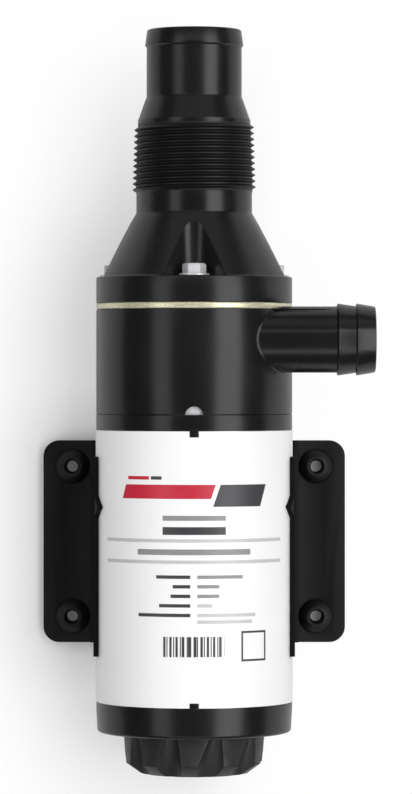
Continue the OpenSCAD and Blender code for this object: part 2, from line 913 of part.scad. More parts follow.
// What the saddle's arms need of the motor's sides: two flats, one each side
module side_flats(face_x) {
    length = saddle_length + 0.6;
    for (side = [0, 180])
        rotate([0, 0, side])
            translate([face_x, -body_r, -saddle_setback - length / 2])
                cube([shell_wall, body_d, length]);
}

module tab_slots() {
    slot_width = tab_width + 0.2;
    slot_depth = tab_length + 0.1;
    for (low = [z_shell_rear - 1, z_shell_front - slot_depth])
        translate([-slot_width / 2, -body_r - 2, low])
            cube([slot_width, 8, slot_depth + 1]);
}

module motor_shell() {
    color("#8f9296")
        on_axis()
            difference() {
                ring(body_r, shell_r, z_shell_rear, z_shell_front);
                side_flats(flat_x);
                tab_slots();
            }
}

module motor_label() {
    edge = 0.1;
    color("#f2f2f0")
        on_axis()
            difference() {
                ring(label_r, body_r + seat_fit / 5, z_shell_rear + edge, z_shell_front - edge);
                side_flats(flat_x);
                tab_slots();
            }
}

// One magnet, lying against the shell. Turn 0 is at the front.
module magnet(turn) {
    far = 2 * shell_r;
    wedge = [
        [0, 0],
        [far * sin(-magnet_half_angle), -far * cos(magnet_half_angle)],
        [0, -2 * far],
        [far * sin(magnet_half_angle), -far * cos(magnet_half_angle)]
    ];
    color("#4a4c50")
        on_axis()
            rotate([0, 0, turn])
                translate([0, 0, z_core + (core_length - magnet_length) / 2])
                    linear_extrude(magnet_length)
                        intersection() {
                            difference() {
                                circle(magnet_r);
                                circle(magnet_inner_r);
                            }
                            polygon(wedge);
                        }
}

module brush_plate() {
    color("#7a5534")
        on_axis()
            difference() {
                ring(shell_r - 2 * seat_fit, commutator_r + 2, z_brush_plate,
                     z_brush_plate + brush_plate_thickness);
                at_through_bolts()
                    rod(through_bolt_d / 2 + hole_fit, z_brush_plate - 1, z_holder + 1);
                at_plate_screws()
                    rod(plate_thread_r + seat_fit, z_brush_plate - 1, z_holder + 1);
            }
}

module brush_plate_screws() {
    z_head = z_brush_plate + brush_plate_thickness;
    color("#b9bcc0")
        on_axis()
            at_plate_screws() {
                rod(plate_screw_head_r, z_head + seat_fit / 2, z_head + plate_screw_head);
                rod(plate_thread_r, z_head - plate_screw_length, z_head + 1);
            }
}

// Brass box that guides one brush. Turn 0 is the upper one.
module brush_holder(turn) {
    inner_x = brush_width / 2 + brush_fit;
    inner_z = brush_height / 2 + brush_fit;
    mouth = commutator_r + 2.5;
    color("#c2a14d")
        on_axis()
            rotate([0, 0, turn])
                translate([0, 0, z_brush])
                    difference() {
                        translate([-inner_x - holder_wall, -holder_end, -inner_z - holder_wall])
                            cube([2 * (inner_x + holder_wall), holder_end - mouth,
                                  2 * (inner_z + holder_wall)]);
                        translate([-inner_x, -holder_end + holder_wall, -inner_z])
                            cube([2 * inner_x, holder_end, 2 * inner_z]);
                    }
}

module brush(turn) {
    face = commutator_r - 1.2;
    color("#3d3d40")
        on_axis()
            rotate([0, 0, turn])
                difference() {
                    translate([-brush_width / 2, -commutator_r - brush_gap - brush_length,
                               z_brush - brush_height / 2])
                        cube([brush_width, commutator_r + brush_gap + brush_length - face,
                              brush_height]);
                    rod(commutator_r + brush_gap, z_brush - brush_height, z_brush + brush_height);
                }
}

module brush_spring(turn) {
    back = commutator_r + brush_gap + brush_length + seat_fit;
    color("#c3c6ca")
        on_axis()
            rotate([0, 0, turn])
                translate([0, -back, z_brush])
                    rotate([90, 0, 0])
                        coil(spring_d, spring_wire, holder_end - holder_wall - back - seat_fit, 4);
}

module thermal_protector() {
    reach = (commutator_r + through_bolt_x - through_bolt_d / 2) / 2 + 0.6;
    color("#9a9da1")
        on_axis()
            translate([reach, 0, 0]) {
                rod(6, z_holder, z_holder + 5);
                for (side = [-1, 1])
                    translate([-2.5, side * 7.5 - 1.5, z_holder])
                        cube([5, 3, 0.8]);
                translate([-2.5, -7.5, z_holder])
                    cube([5, 15, 0.8]);
            }
}

module through_bolts() {
    z_head = z_rear + through_pocket;
    color("#a9adb2")
        on_axis()
            at_through_bolts() {
                rod(through_bolt_d / 2, z_head - 1, z_through_tip);
                hexagon(through_bolt_flats, z_head - through_bolt_head, z_head - seat_fit);
            }
}

module rear_bell() {
    step = 0.4;
    edge = 1.2;
    z_floor = z_rear + 2.4;
    z_step = z_shell_rear - 6.2;
    inner_r = shell_r - 0.8;
    seat_width = 4;
    bolt_boss_r = 6.4;
    z_gland = z_rear + 7;
    color("#1b1b1d")
        on_axis()
            difference() {
                union() {
                    difference() {
                        rotate_extrude()
                            polygon([
                                [0, z_rear], [body_r - step - edge, z_rear],
                                [body_r - step - edge * 0.3, z_rear + edge * 0.3],
                                [body_r - step, z_rear + edge], [body_r - step, z_step],
                                [body_r, z_step + 3 * step], [body_r, z_shell_rear], [0, z_shell_rear]
                            ]);
                        rod(inner_r, z_floor, z_shell_rear + 1);
                    }
                    ring(shell_r - 2 * seat_fit, inner_r - seat_width, z_floor, z_brush_plate - seat_fit);
                    rod(boss_r, z_rear, z_rear_bearing + bearing_width + 0.6);
                    intersection() {
                        at_through_bolts()
                            rod(bolt_boss_r, z_rear, z_brush_plate - seat_fit);
                        rod(shell_r - 2 * seat_fit, z_rear, z_shell_rear + spigot);
                    }
                    at_plate_screws()
                        rod(plate_boss_r, z_rear, z_brush_plate - seat_fit);
                    key_tab(z_shell_rear, z_shell_rear + tab_length - 0.4);
                }
                rod(bearing_r + shaft_fit, z_rear + rear_floor, z_shell_rear + 2);
                rod(shaft_r + 3, z_rear - 1, z_rear_bearing);
                at_through_bolts() {
                    rod(through_bolt_d / 2 + hole_fit, z_rear - 1, z_shell_rear + spigot + 1);
                    rod(through_pocket_r, z_rear - 1, z_rear + through_pocket);
                }
                at_plate_screws()
                    rod(plate_thread_r + seat_fit, z_brush_plate - plate_screw_length,
                        z_brush_plate + 1);
                translate([0, 0, z_gland])
                    rotate([-90, 0, 0])
                        rod(lead_gland_d / 2 - 1.5, boss_r + 4, body_r + 2);
            }
}

// Ring of spring steel that keeps the rear bearing pushed forward
module wave_washer() {
    color("#8d9094")
        on_axis()
            ring(bearing_r - 0.4, bearing_r - 3, z_rear + rear_floor + seat_fit / 2,
                 z_rear_bearing - seat_fit / 2);
}

// Rubber gland where the motor's leads come out, under the rear bell
module lead_gland() {
    gland_r = lead_gland_d / 2;
    neck_r_here = gland_r - 1.5 - seat_fit;
    wall_in = shell_r - 4.8;
    wall_out = body_r;
    color("#232325")
        on_axis()
            translate([0, 0, z_rear + 7])
                rotate([-90, 0, 0])
                    difference() {
                        union() {
                            rod(neck_r_here, wall_in - 1.6, wall_out + 1.5);
                            translate([0, 0, wall_out])
                                intersection() {
                                    cylinder(r1 = gland_r - 0.7, r2 = gland_r - 1.8, h = 3.2);
                                    translate([-gland_r, -4.6, 0])
                                        cube([2 * gland_r, 9.2, 4]);
                                }
                        }
                        rod(1.9, wall_in - 3, wall_out + 5);
                    }
}

module turning_knob() {
    rim_r = knob_d / 2;
    taper = 0.6;
    end_r = rim_r - 6.4;
    chamfer = 4.2;
    z_shoulder = z_knob_end + chamfer;
    hollow_r = rim_r - 5.4;
    knob_hub_r = shaft_r + 4;
    land_angle = 360 / flute_count - 2 * asin(flute_width / knob_d);
    land_x = rim_r * cos(land_angle / 2);
    bite = flute_depth - rim_r + sqrt(rim_r ^ 2 - flute_width ^ 2 / 4);
    flute_r = (bite ^ 2 + flute_width ^ 2 / 4) / (2 * bite);
    flute_x = rim_r + flute_r - flute_depth;
    front = -88;
    color("#202022")
        on_axis()
            difference() {
                rotate_extrude()
                    polygon([
                        [0, z_knob_end], [end_r, z_knob_end], [rim_r - taper, z_shoulder],
                        [rim_r, z_knob_top], [0, z_knob_top]
                    ]);
                for (i = [0 : flute_count - 1])
                    rotate([0, 0, front + (i + 0.5) * 360 / flute_count])
                        translate([flute_x, 0, z_knob_top + 1])
                            rotate([6, 180, 0])
                                cylinder(r1 = flute_r, r2 = flute_r * 1.3, h = knob_height + 4);
                for (i = [0 : flute_count - 1])
                    rotate([0, 0, front + i * 360 / flute_count])
                        translate([land_x, 0, z_knob_top])
                            rotate([0, atan(taper / (knob_height - chamfer)), 0])
                                translate([0, -rim_r / 2, -knob_height])
                                    cube([taper + 2, rim_r, knob_height + 2]);
                difference() {
                    rod(hollow_r, z_shoulder + 1, z_knob_top + 1);
                    rod(knob_hub_r, z_shoulder, z_knob_top + 2);
                    for (i = [0 : 5])
                        rotate([0, 0, i * 60])
                            translate([0, -0.9, z_shoulder])
                                cube([hollow_r + 1, 1.8, z_knob_top - z_shoulder - 1.5]);
                }
                difference() {
                    rod(shaft_r + shaft_fit, z_knob_end + 4.2, z_knob_top + 1);
                    translate([shaft_r - shaft_flat + shaft_fit, -shaft_d, z_knob_end])
                        cube([shaft_d, 2 * shaft_d, knob_height + knob_gap]);
                }
                rod(screw_r + hole_fit, z_knob_end - 1, z_knob_end + 5);
                rod(4.4, z_knob_end - 1, z_knob_end + 2.4);
            }
}

module knob_screw() {
    color("#b9bcc0")
        on_axis() {
            rod(screw_r, z_knob_end + 2, z_knob_end + knob_screw_length + 2);
            difference() {
                rod(3.9, z_knob_end + 0.2, z_knob_end + 2.35);
                for (turn = [0, 90])
                    rotate([0, 0, turn])
                        translate([-2.4, -0.45, z_knob_end])
                            cube([4.8, 0.9, 1.3]);
            }
        }
}

// Draws an outline given in x and height, and runs it along the pump
module along_y(low, high) {
    translate([0, high, 0])
        rotate([90, 0, 0])
            linear_extrude(high - low)
                children();
}

module at_saddle_screws() {
    for (x = [-saddle_screw_x, saddle_screw_x], y = [-saddle_screw_y, saddle_screw_y])
        translate([x, y - saddle_setback, 0])
            children();
}

// Outline of one bent sheet: a floor with an upright arm at each end
module saddle_outline() {
    low = plate_top + seat_fit;
    high = axis_height + arm_reach;
    inner_bend = saddle_bend - saddle_thickness;
    difference() {
        union() {
            translate([-saddle_x + saddle_bend, low])
                square([2 * (saddle_x - saddle_bend), saddle_bend]);
            translate([-saddle_x, low + saddle_bend])
                square([2 * saddle_x, high - low - saddle_bend]);
            for (side = [-1, 1])
                translate([side * (saddle_x - saddle_bend), low + saddle_bend])
                    circle(saddle_bend);
        }
        union() {
            translate([-saddle_x + saddle_bend, low + saddle_thickness])
                square([2 * (saddle_x - saddle_bend), high]);
            translate([-saddle_x + saddle_thickness, low + saddle_bend])
                square([2 * (saddle_x - saddle_thickness), high]);
            for (side = [-1, 1])
                translate([side * (saddle_x - saddle_bend), low + saddle_bend])
                    circle(inner_bend);
        }
    }
}

// A pointed hook on each arm bends in over the motor and holds it down
module saddle_hooks() {
    centre = hook_offset - saddle_setback;
    foot = arm_reach - 1.2;
    intersection() {
        on_axis()
            ring(label_r + seat_fit + saddle_thickness, label_r + seat_fit,
                 centre - hook_length, centre + hook_length);
        rotate([90, 0, 90])
            linear_extrude(4 * body_r, center = true)
                polygon([
                    [centre - hook_length / 2, axis_height + foot],
                    [centre + hook_length / 2, axis_height + foot],
                    [centre + hook_length / 2 - 0.4, axis_height + arm_reach],
                    [centre, axis_height + arm_reach + hook_rise],
                    [centre - hook_length / 2 + 0.4, axis_height + arm_reach]
                ]);
    }
}

module saddle() {
    color("#19191b")
        difference() {
            union() {
                along_y(-saddle_setback - saddle_length / 2, -saddle_setback + saddle_length / 2)
                    saddle_outline();
                saddle_hooks();
            }
            at_saddle_screws()
                rod(screw_r + hole_fit, plate_top - 1, saddle_floor_top + 1);
        }
}

module saddle_screws() {
    color("#b9bcc0")
        at_saddle_screws() {
            rod(screw_head_r, saddle_floor_top + seat_fit / 2, saddle_floor_top + screw_head);
            rod(screw_r, plate_lift - 4, saddle_floor_top + 1);
        }
}

module saddle_nuts() {
    color("#a9adb2")
        at_saddle_screws()
            difference() {
                hexagon(nut_flats, plate_lift - nut_height, plate_lift - seat_fit / 2);
                rod(screw_r + shaft_fit, plate_lift - 5, plate_lift + 1);
            }
}

module at_mounting_holes() {
    for (x = [-hole_x, hole_x], y = [-hole_y, hole_y])
        translate([x, y, 0])
            children();
}

module rounded_rectangle(half_x, half_y, radius) {
    square([2 * (half_x - radius), 2 * half_y], center = true);
    square([2 * half_x, 2 * (half_y - radius)], center = true);
    for (x = [-1, 1], y = [-1, 1])
        translate([x * (half_x - radius), y * (half_y - radius)])
            circle(radius);
}

module base_plate() {
    color("#1a1a1c")
        difference() {
            union() {
                translate([0, 0, plate_lift])
                    linear_extrude(plate_thickness)
                        rounded_rectangle(plate_x, plate_y, plate_corner);
                for (side = [-1, 1])
                    translate([side * (rib_x + rib_width / 2), 0, plate_top - 1])
                        linear_extrude(rib_height + 1)
                            square([rib_width, 2 * plate_y], center = true);
            }
            at_mounting_holes()
                rod(grommet_neck_r + 0.1, plate_lift - 1, plate_top + 1);
            at_saddle_screws()
                rod(screw_r + hole_fit, plate_lift - 1, plate_top + 1);
        }
}

// Rubber grommet in one corner of the plate, given as the signs of x and y
module grommet(side, end) {
    outer_r = grommet_d / 2;
    bore_r = grommet_bore / 2;
    top = plate_top + grommet_rise;
    color("#212123")
        translate([side * hole_x, end * hole_y, 0])
            rotate_extrude()
                polygon([
                    [bore_r, 0], [outer_r - 0.4, 0], [outer_r, 0.4], [outer_r, plate_lift - 0.1],
                    [grommet_neck_r, plate_lift - 0.1], [grommet_neck_r, plate_top + 0.1],
                    [outer_r, plate_top + 0.1], [outer_r, plate_top + 1.4],
                    [outer_r - 0.7, top - 0.9], [outer_r - 1.9, top], [grommet_mouth / 2, top],
                    [bore_r, top - 2.5]
                ]);
}

inlet_housing();
inlet_bolts();
inlet_bolt_washers();
o_ring(z_wear_top);  // inlet_o_ring
wear_plate();
o_ring(z_housing_top - o_ring_depth);  // housing_o_ring
pump_housing();
cutter_blade();
cutter_nut();
cutter_washer();
cutter_spacer();
impeller();
impeller_pin();
seal_cup();
seal_ring();
seal_face();
seal_spring();
slinger();
front_bell();
outer_race(z_front_bearing);  // front_outer_race
inner_race(z_front_bearing);  // front_inner_race
balls(z_front_bearing);  // front_balls
ball_cage(z_front_bearing);  // front_ball_cage
motor_shaft();
armature_core();
armature_windings();
commutator_hub();
commutator_bars();
motor_shell();
motor_label();
magnet(0);  // magnet_upper
magnet(180);  // magnet_lower
brush_plate();
brush_plate_screws();
thermal_protector();
brush_holder(0);  // brush_holder_upper
brush_holder(180);  // brush_holder_lower
brush(0);  // brush_upper
brush(180);  // brush_lower
brush_spring(0);  // brush_spring_upper
brush_spring(180);  // brush_spring_lower
through_bolts();
rear_bell();
outer_race(z_rear_bearing);  // rear_outer_race
inner_race(z_rear_bearing);  // rear_inner_race
balls(z_rear_bearing);  // rear_balls
ball_cage(z_rear_bearing);  // rear_ball_cage
wave_washer();
lead_gland();
turning_knob();
knob_screw();
saddle();
saddle_screws();
saddle_nuts();
base_plate();
grommet(-1, -1);  // grommet_rear_left
grommet(1, -1);  // grommet_rear_right
grommet(-1, 1);  // grommet_front_left
grommet(1, 1);  // grommet_front_right
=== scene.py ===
"""Dresses the macerator pump: its outer pieces, finishes, light, floor and camera."""

import math

import bmesh
import bpy
from bpy.props import FloatProperty, FloatVectorProperty, IntProperty, PointerProperty
from bpy.types import Operator, Panel, PropertyGroup
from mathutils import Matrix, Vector


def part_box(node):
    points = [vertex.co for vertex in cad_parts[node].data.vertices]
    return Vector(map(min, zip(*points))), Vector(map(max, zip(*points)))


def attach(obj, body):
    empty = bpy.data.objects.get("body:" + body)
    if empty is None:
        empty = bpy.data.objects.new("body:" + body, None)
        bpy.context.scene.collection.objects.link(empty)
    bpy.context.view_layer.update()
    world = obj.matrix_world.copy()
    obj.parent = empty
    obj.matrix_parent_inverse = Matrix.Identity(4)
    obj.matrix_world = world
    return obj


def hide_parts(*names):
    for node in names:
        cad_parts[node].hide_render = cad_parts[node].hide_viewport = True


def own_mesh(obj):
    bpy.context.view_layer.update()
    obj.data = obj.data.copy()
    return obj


bl_info = {
    "name": "Macerator pump",
    "version": (1, 0, 0),
    "blender": (4, 5, 0),
    "location": "3D View > Sidebar > Pump",
    "description": "Models and finishes the outer pieces of a macerator pump on its plate",
    "category": "Object",
}

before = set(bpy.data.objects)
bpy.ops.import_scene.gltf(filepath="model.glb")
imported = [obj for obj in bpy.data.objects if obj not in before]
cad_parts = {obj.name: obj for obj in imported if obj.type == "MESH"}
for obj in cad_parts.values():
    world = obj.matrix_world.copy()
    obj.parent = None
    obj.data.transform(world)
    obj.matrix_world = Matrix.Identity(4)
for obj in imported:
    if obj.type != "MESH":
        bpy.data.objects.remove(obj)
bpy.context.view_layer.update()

MM = 0.001
FULL_TURN = 2 * math.pi
LOW, HIGH = 0, 1
ALONG = Vector((0, 1, 0))
UP = Vector((0, 0, 1))
SIDE = Vector((1, 0, 0))


def reach(node, end, way):
    """How far a solid reaches along x, y or z, given as 0, 1 or 2"""
    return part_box(node)[end][way]


def middle(node, way):
    return (reach(node, LOW, way) + reach(node, HIGH, way)) / 2


AXIS_HEIGHT = middle("motor_shaft", 2)
AXIS = Vector((0, 0, AXIS_HEIGHT))


# Sizes and colours that a user may change


class PumpSizes(PropertyGroup):
    """Sizes of the pieces that this add-on models over the solids"""

    body_radius: FloatProperty(
        name="Body radius",
        description="Radius of the motor and the pump head",
        default=reach("motor_shell", HIGH, 0),
        unit="LENGTH",
    )
    port_fillet: FloatProperty(
        name="Port fillet",
        description="Fillet where the discharge port leaves the pump housing",
        default=0.75 * MM,
        min=0.1 * MM,
        unit="LENGTH",
    )
    thread_pitch: FloatProperty(
        name="Thread pitch",
        description="Distance from crest to crest of the inlet thread",
        default=2.33 * MM,
        unit="LENGTH",
    )
    thread_depth: FloatProperty(
        name="Thread depth",
        description="Height of the inlet thread's crest above its root",
        default=1.4 * MM,
        unit="LENGTH",
    )
    flutes: IntProperty(
        name="Flutes",
        description="Number of flutes round the turning knob",
        default=10,
        min=4,
        max=16,
    )
    turning_steps: IntProperty(
        name="Turning steps",
        description="Number of flats round a turned piece",
        default=144,
        min=24,
        max=256,
    )


def colour(name, description, default):
    return FloatVectorProperty(
        name=name, description=description, default=default, subtype="COLOR", size=3, min=0, max=1
    )


class PumpColours(PropertyGroup):
    """Colours of the finishes"""

    moulding: colour(
        "Moulding",
        "Black plastic of the pump head, inlet, rear bell and knob",
        (0.0058, 0.0057, 0.0060),
    )
    casting: colour("Casting", "Black coat of the front bell", (0.0062, 0.0062, 0.0066))
    bracket: colour("Bracket", "Black of the saddle and the plate", (0.0026, 0.0026, 0.0028))
    rubber: colour("Rubber", "Rubber of the grommets, seals and gland", (0.0030, 0.0030, 0.0032))
    film: colour("Label film", "Film of the label", (0.86, 0.86, 0.855))
    ink: colour("Dark ink", "Dark print of the label", (0.045, 0.045, 0.05))
    accent: colour("Accent ink", "Coloured print of the label", (0.52, 0.02, 0.045))
    wear_plate: colour("Wear plate", "Polished wear plate", (0.72, 0.70, 0.50))
    steel: colour("Steel", "Bright steel of the fasteners", (0.66, 0.665, 0.68))
    brass: colour("Brass", "Brass of the brush holders and ball cages", (0.72, 0.52, 0.22))
    copper: colour("Copper", "Windings and commutator bars", (0.72, 0.32, 0.16))


# The bench: how a piece is started, shaped and finished


def clear_bench():
    """Leaves edit mode and lets go of every piece"""
    if bpy.context.object and bpy.context.object.mode != "OBJECT":
        bpy.ops.object.mode_set(mode="OBJECT")
    bpy.ops.object.select_all(action="DESELECT")


def take(piece):
    clear_bench()
    piece.select_set(True)
    bpy.context.view_layer.objects.active = piece


def open_up(piece, mode="FACE"):
    """Goes into edit mode on a piece with nothing selected"""
    take(piece)
    bpy.ops.object.mode_set(mode="EDIT")
    bpy.ops.mesh.select_mode(type=mode)
    bpy.ops.mesh.select_all(action="DESELECT")


def pick(piece, kind, test):
    """Selects the verts, edges or faces of the piece in edit mode that pass a test; says how many"""
    mesh = bmesh.from_edit_mesh(piece.data)
    chosen = [element for element in getattr(mesh, kind) if test(element)]
    for element in chosen:
        element.select_set(True)
    bmesh.update_edit_mesh(piece.data)
    return len(chosen)


def centre_of(element):
    if isinstance(element, bmesh.types.BMVert):
        return element.co
    return sum((v.co for v in element.verts), Vector()) / len(element.verts)


def mend_skin(piece, gap=1e-6):
    """Merges doubled points and turns every face outwards"""
    open_up(piece, "VERT")
    bpy.ops.mesh.select_all(action="SELECT")
    bpy.ops.mesh.remove_doubles(threshold=gap)
    bpy.ops.mesh.normals_make_consistent(inside=False)
    clear_bench()


def apply_modifier(piece, kind, **settings):
    take(piece)
    bpy.ops.object.modifier_add(type=kind)
    modifier = piece.modifiers[-1]
    for name, value in settings.items():
        setattr(modifier, name, value)
    bpy.ops.object.modifier_apply(modifier=modifier.name)


def carve(piece, *tools, operation="DIFFERENCE"):
    """Cuts tool pieces out of a piece, or adds them to it, and puts the tools away"""
    for tool in tools:
        apply_modifier(piece, "BOOLEAN", object=tool, operation=operation, solver="EXACT")
        bpy.data.objects.remove(tool)
    if not piece.data.polygons:
        raise RuntimeError(f"{piece.name} was cut away")


def soften(piece, width, segments=3, angle=32):
    """Rounds every edge that is sharper than an angle"""
    apply_modifier(
        piece,
        "BEVEL",
        width=width,
        segments=segments,
        limit_method="ANGLE",
        angle_limit=math.radians(angle),
        miter_outer="MITER_ARC",
        use_clamp_overlap=True,
    )


def draw_line(name, points, at=Vector()):
    """A piece that is one line, drawn out point by point and left selected in edit mode"""
    clear_bench()
    bpy.ops.mesh.primitive_plane_add(size=MM, location=at)
    piece = bpy.context.object
    piece.name = name
    bpy.ops.object.mode_set(mode="EDIT")
    bpy.ops.mesh.select_mode(type="VERT")
    bpy.ops.mesh.select_all(action="SELECT")
    bpy.ops.mesh.merge(type="CENTER")
    here = Vector(at)
    bpy.ops.transform.translate(value=points[0] - here)
    here = points[0]
    for point in points[1:]:
        bpy.ops.mesh.extrude_region_move(TRANSFORM_OT_translate={"value": point - here})
        here = point
    bpy.ops.mesh.select_all(action="SELECT")
    bpy.ops.mesh.remove_doubles(threshold=1e-6)
    return piece


def prism(name, points, step):
    """A piece with a flat outline, drawn point by point, filled and pulled out along a step"""
    piece = draw_line(name, points)
    bpy.ops.mesh.edge_face_add()
    bpy.ops.mesh.extrude_region_move(TRANSFORM_OT_translate={"value": step})
    mend_skin(piece)
    return piece


def wind(line, axis, **settings):
    """Winds a closed line into a coil round its own origin and closes the coil's two ends"""
    apply_modifier(line, "SCREW", axis=axis, use_merge_vertices=False, **settings)
    way = "XYZ".index(axis)
    stations = [v.co[way] for v in line.data.vertices]
    halfway = (min(stations) + max(stations)) / 2
    for end in (LOW, HIGH):
        open_up(line, "EDGE")
        pick(line, "edges", lambda e: e.is_boundary and (centre_of(e)[way] > halfway) == bool(end))
        bpy.ops.mesh.edge_face_add()
    mend_skin(line)


def turned(name, outline, centre=AXIS, along=ALONG, outward=SIDE, steps=None):
    """A piece turned from its half outline, a list of (radius, station) in metres"""
    steps = steps or bpy.context.scene.pump_sizes.turning_steps
    points = [centre + outward * radius + along * station for radius, station in outline]
    piece = draw_line(name, points)
    bpy.ops.mesh.spin(steps=steps, angle=FULL_TURN, center=centre, axis=along)
    mend_skin(piece)
    return piece


def closed(outline):
    return outline + outline[:1]


def millimetres(outline, start=0.0):
    """An outline given in millimetres from a station, in metres"""
    return [(radius * MM, start + station * MM) for radius, station in outline]


def drill(name, radius, low, high, centre, along=ALONG, flats=48):
    """A plain rod that is used as a cutter"""
    clear_bench()
    bpy.ops.mesh.primitive_cylinder_add(
        vertices=flats,
        radius=radius,
        depth=high - low,
        location=centre + along * ((low + high) / 2),
        rotation=along.to_track_quat("Z", "Y").to_euler(),
    )
    piece = bpy.context.object
    piece.name = name
    bpy.ops.object.transform_apply(location=True, rotation=True, scale=True)
    return piece


def block(name, low, high):
    """A plain block that is used as a cutter or as a start"""
    clear_bench()
    bpy.ops.mesh.primitive_cube_add(size=1, location=(Vector(low) + Vector(high)) / 2)
    piece = bpy.context.object
    piece.name = name
    bpy.ops.transform.resize(value=Vector(high) - Vector(low))
    bpy.ops.object.transform_apply(location=True, rotation=True, scale=True)
    return piece


def turned_copy(piece, angle, centre=AXIS, along="Y"):
    """A copy with a mesh of its own, turned about an axis through a point"""
    take(piece)
    bpy.ops.object.duplicate(linked=False)
    copy = bpy.context.object
    bpy.ops.transform.rotate(value=angle, orient_axis=along, center_override=centre)
    bpy.ops.object.transform_apply(location=True, rotation=True, scale=True)
    return copy


def moved_copy(piece, step):
    take(piece)
    bpy.ops.object.duplicate(linked=False)
    bpy.ops.transform.translate(value=step)
    bpy.ops.object.transform_apply(location=True, rotation=True, scale=True)
    return bpy.context.object


def gather(*pieces):
    """Joins pieces into the first of them"""
    clear_bench()
    for piece in pieces:
        piece.select_set(True)
    bpy.context.view_layer.objects.active = pieces[0]
    bpy.ops.object.join()
    return pieces[0]


def hand_over(piece, name, finish, node, angle=32, body="pump_frame"):
    """Smooths a piece, gives it its finish and lets it ride on its body in place of its solid"""
    take(piece)
    piece.name = name
    piece.data.name = name
    bpy.ops.object.transform_apply(location=True, rotation=True, scale=True)
    bpy.ops.object.shade_smooth_by_angle(angle=math.radians(angle))
    piece.data.materials.clear()
    piece.data.materials.append(finish_named(finish))
    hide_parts(node)
    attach(piece, body)
    clear_bench()


def second_finish(piece, name, test):
    """Gives the faces that pass a test another finish"""
    piece.data.materials.append(finish_named(name))
    open_up(piece)
    pick(piece, "faces", test)
    piece.active_material_index = 1
    bpy.ops.object.material_slot_assign()
    clear_bench()


# Finishes


class Wire:
    """A value in a finish's node tree that can be reckoned with like a number"""

    def __init__(self, finish, socket):
        self.finish = finish
        self.socket = socket

    def __add__(self, other):
        return self.finish.reckon("ADD", self, other)

    def __radd__(self, other):
        return self.finish.reckon("ADD", other, self)

    def __sub__(self, other):
        return self.finish.reckon("SUBTRACT", self, other)

    def __rsub__(self, other):
        return self.finish.reckon("SUBTRACT", other, self)

    def __mul__(self, other):
        return self.finish.reckon("MULTIPLY", self, other)

    def __rmul__(self, other):
        return self.finish.reckon("MULTIPLY", other, self)

    def __truediv__(self, other):
        return self.finish.reckon("DIVIDE", self, other)

    def __gt__(self, other):
        return self.finish.reckon("GREATER_THAN", self, other)

    def __lt__(self, other):
        return self.finish.reckon("LESS_THAN", self, other)

    def __abs__(self):
        return self.finish.reckon("ABSOLUTE", self)


class Finish:
    """A material and the nodes that paint it"""

    def __init__(self, name):
        self.material = bpy.data.materials.new(name)
        self.material.use_nodes = True
        self.tree = self.material.node_tree
        self.shader = self.tree.nodes["Principled BSDF"]

    def node(self, kind, settings=None, values=None, output=0):
        """Adds a node, with its settings first and then the values or links of its sockets"""
        made = self.tree.nodes.new(kind)
        for name, value in (settings or {}).items():
            if name == "stops":
                ramp = made.color_ramp
                while len(ramp.elements) < len(value):
                    ramp.elements.new(1)
                for element, (place, shade) in zip(ramp.elements, value):
                    element.position = place
                    element.color = (*shade, 1) if len(shade) == 3 else shade
            else:
                setattr(made, name, value)
        for name, value in (values or {}).items():
            self.feed(made.inputs[name], value)
        return Wire(self, made.outputs[output])

    def feed(self, socket, value):
        if isinstance(value, Wire):
            self.tree.links.new(value.socket, socket)
        elif isinstance(socket.default_value, float):
            socket.default_value = value
        else:
            value = tuple(value)
            if len(socket.default_value) == 4 and len(value) == 3:
                value = (*value, 1)
            socket.default_value = value

    def shade(self, **values):
        """Sets the shader's sockets, named with underscores for spaces"""
        for name, value in values.items():
            self.feed(self.shader.inputs[name.replace("_", " ")], value)

    def reckon(self, operation, *values):
        return self.node("ShaderNodeMath", {"operation": operation}, dict(enumerate(values)))

    def place(self):
        return self.node("ShaderNodeTexCoord", output="Object")

    def parts_of(self, vector):
        split = self.tree.nodes.new("ShaderNodeSeparateXYZ")
        self.feed(split.inputs[0], vector)
        return [Wire(self, split.outputs[i]) for i in range(3)]

    def stretched(self, vector, scale):
        return self.node("ShaderNodeMapping", {}, {"Vector": vector, "Scale": scale})

    def noise(self, vector, scale, detail=2.0, roughness=0.5):
        return self.node(
            "ShaderNodeTexNoise",
            {},
            {"Vector": vector, "Scale": scale, "Detail": detail, "Roughness": roughness},
        )

    def blend(self, factor, first, second):
        """Mixes two colours"""
        mixer = self.tree.nodes.new("ShaderNodeMix")
        mixer.data_type = "RGBA"
        self.feed(mixer.inputs[0], factor)
        self.feed(mixer.inputs[6], first)
        self.feed(mixer.inputs[7], second)
        return Wire(self, mixer.outputs[2])

    def spread(self, value, low, high, new_low, new_high):
        """Carries a range over to another, held at both ends"""
        return self.node(
            "ShaderNodeMapRange",
            {"clamp": True},
            {0: value, 1: low, 2: high, 3: new_low, 4: new_high},
        )

    def mottle(self, pattern, shade, darker, paler, low=0.35, high=0.7):
        """The shade, darker where a pattern runs low and paler where it runs high"""
        cover = self.spread(pattern, low, high, 0, 1)
        return self.blend(cover, scaled(shade, darker), scaled(shade, paler))

    def relief(self, height, strength, distance):
        bump = self.node(
            "ShaderNodeBump", {}, {"Height": height, "Strength": strength, "Distance": distance}
        )
        self.shade(Normal=bump)


def scaled(shade, factor):
    return tuple(min(1, c * factor) for c in shade)


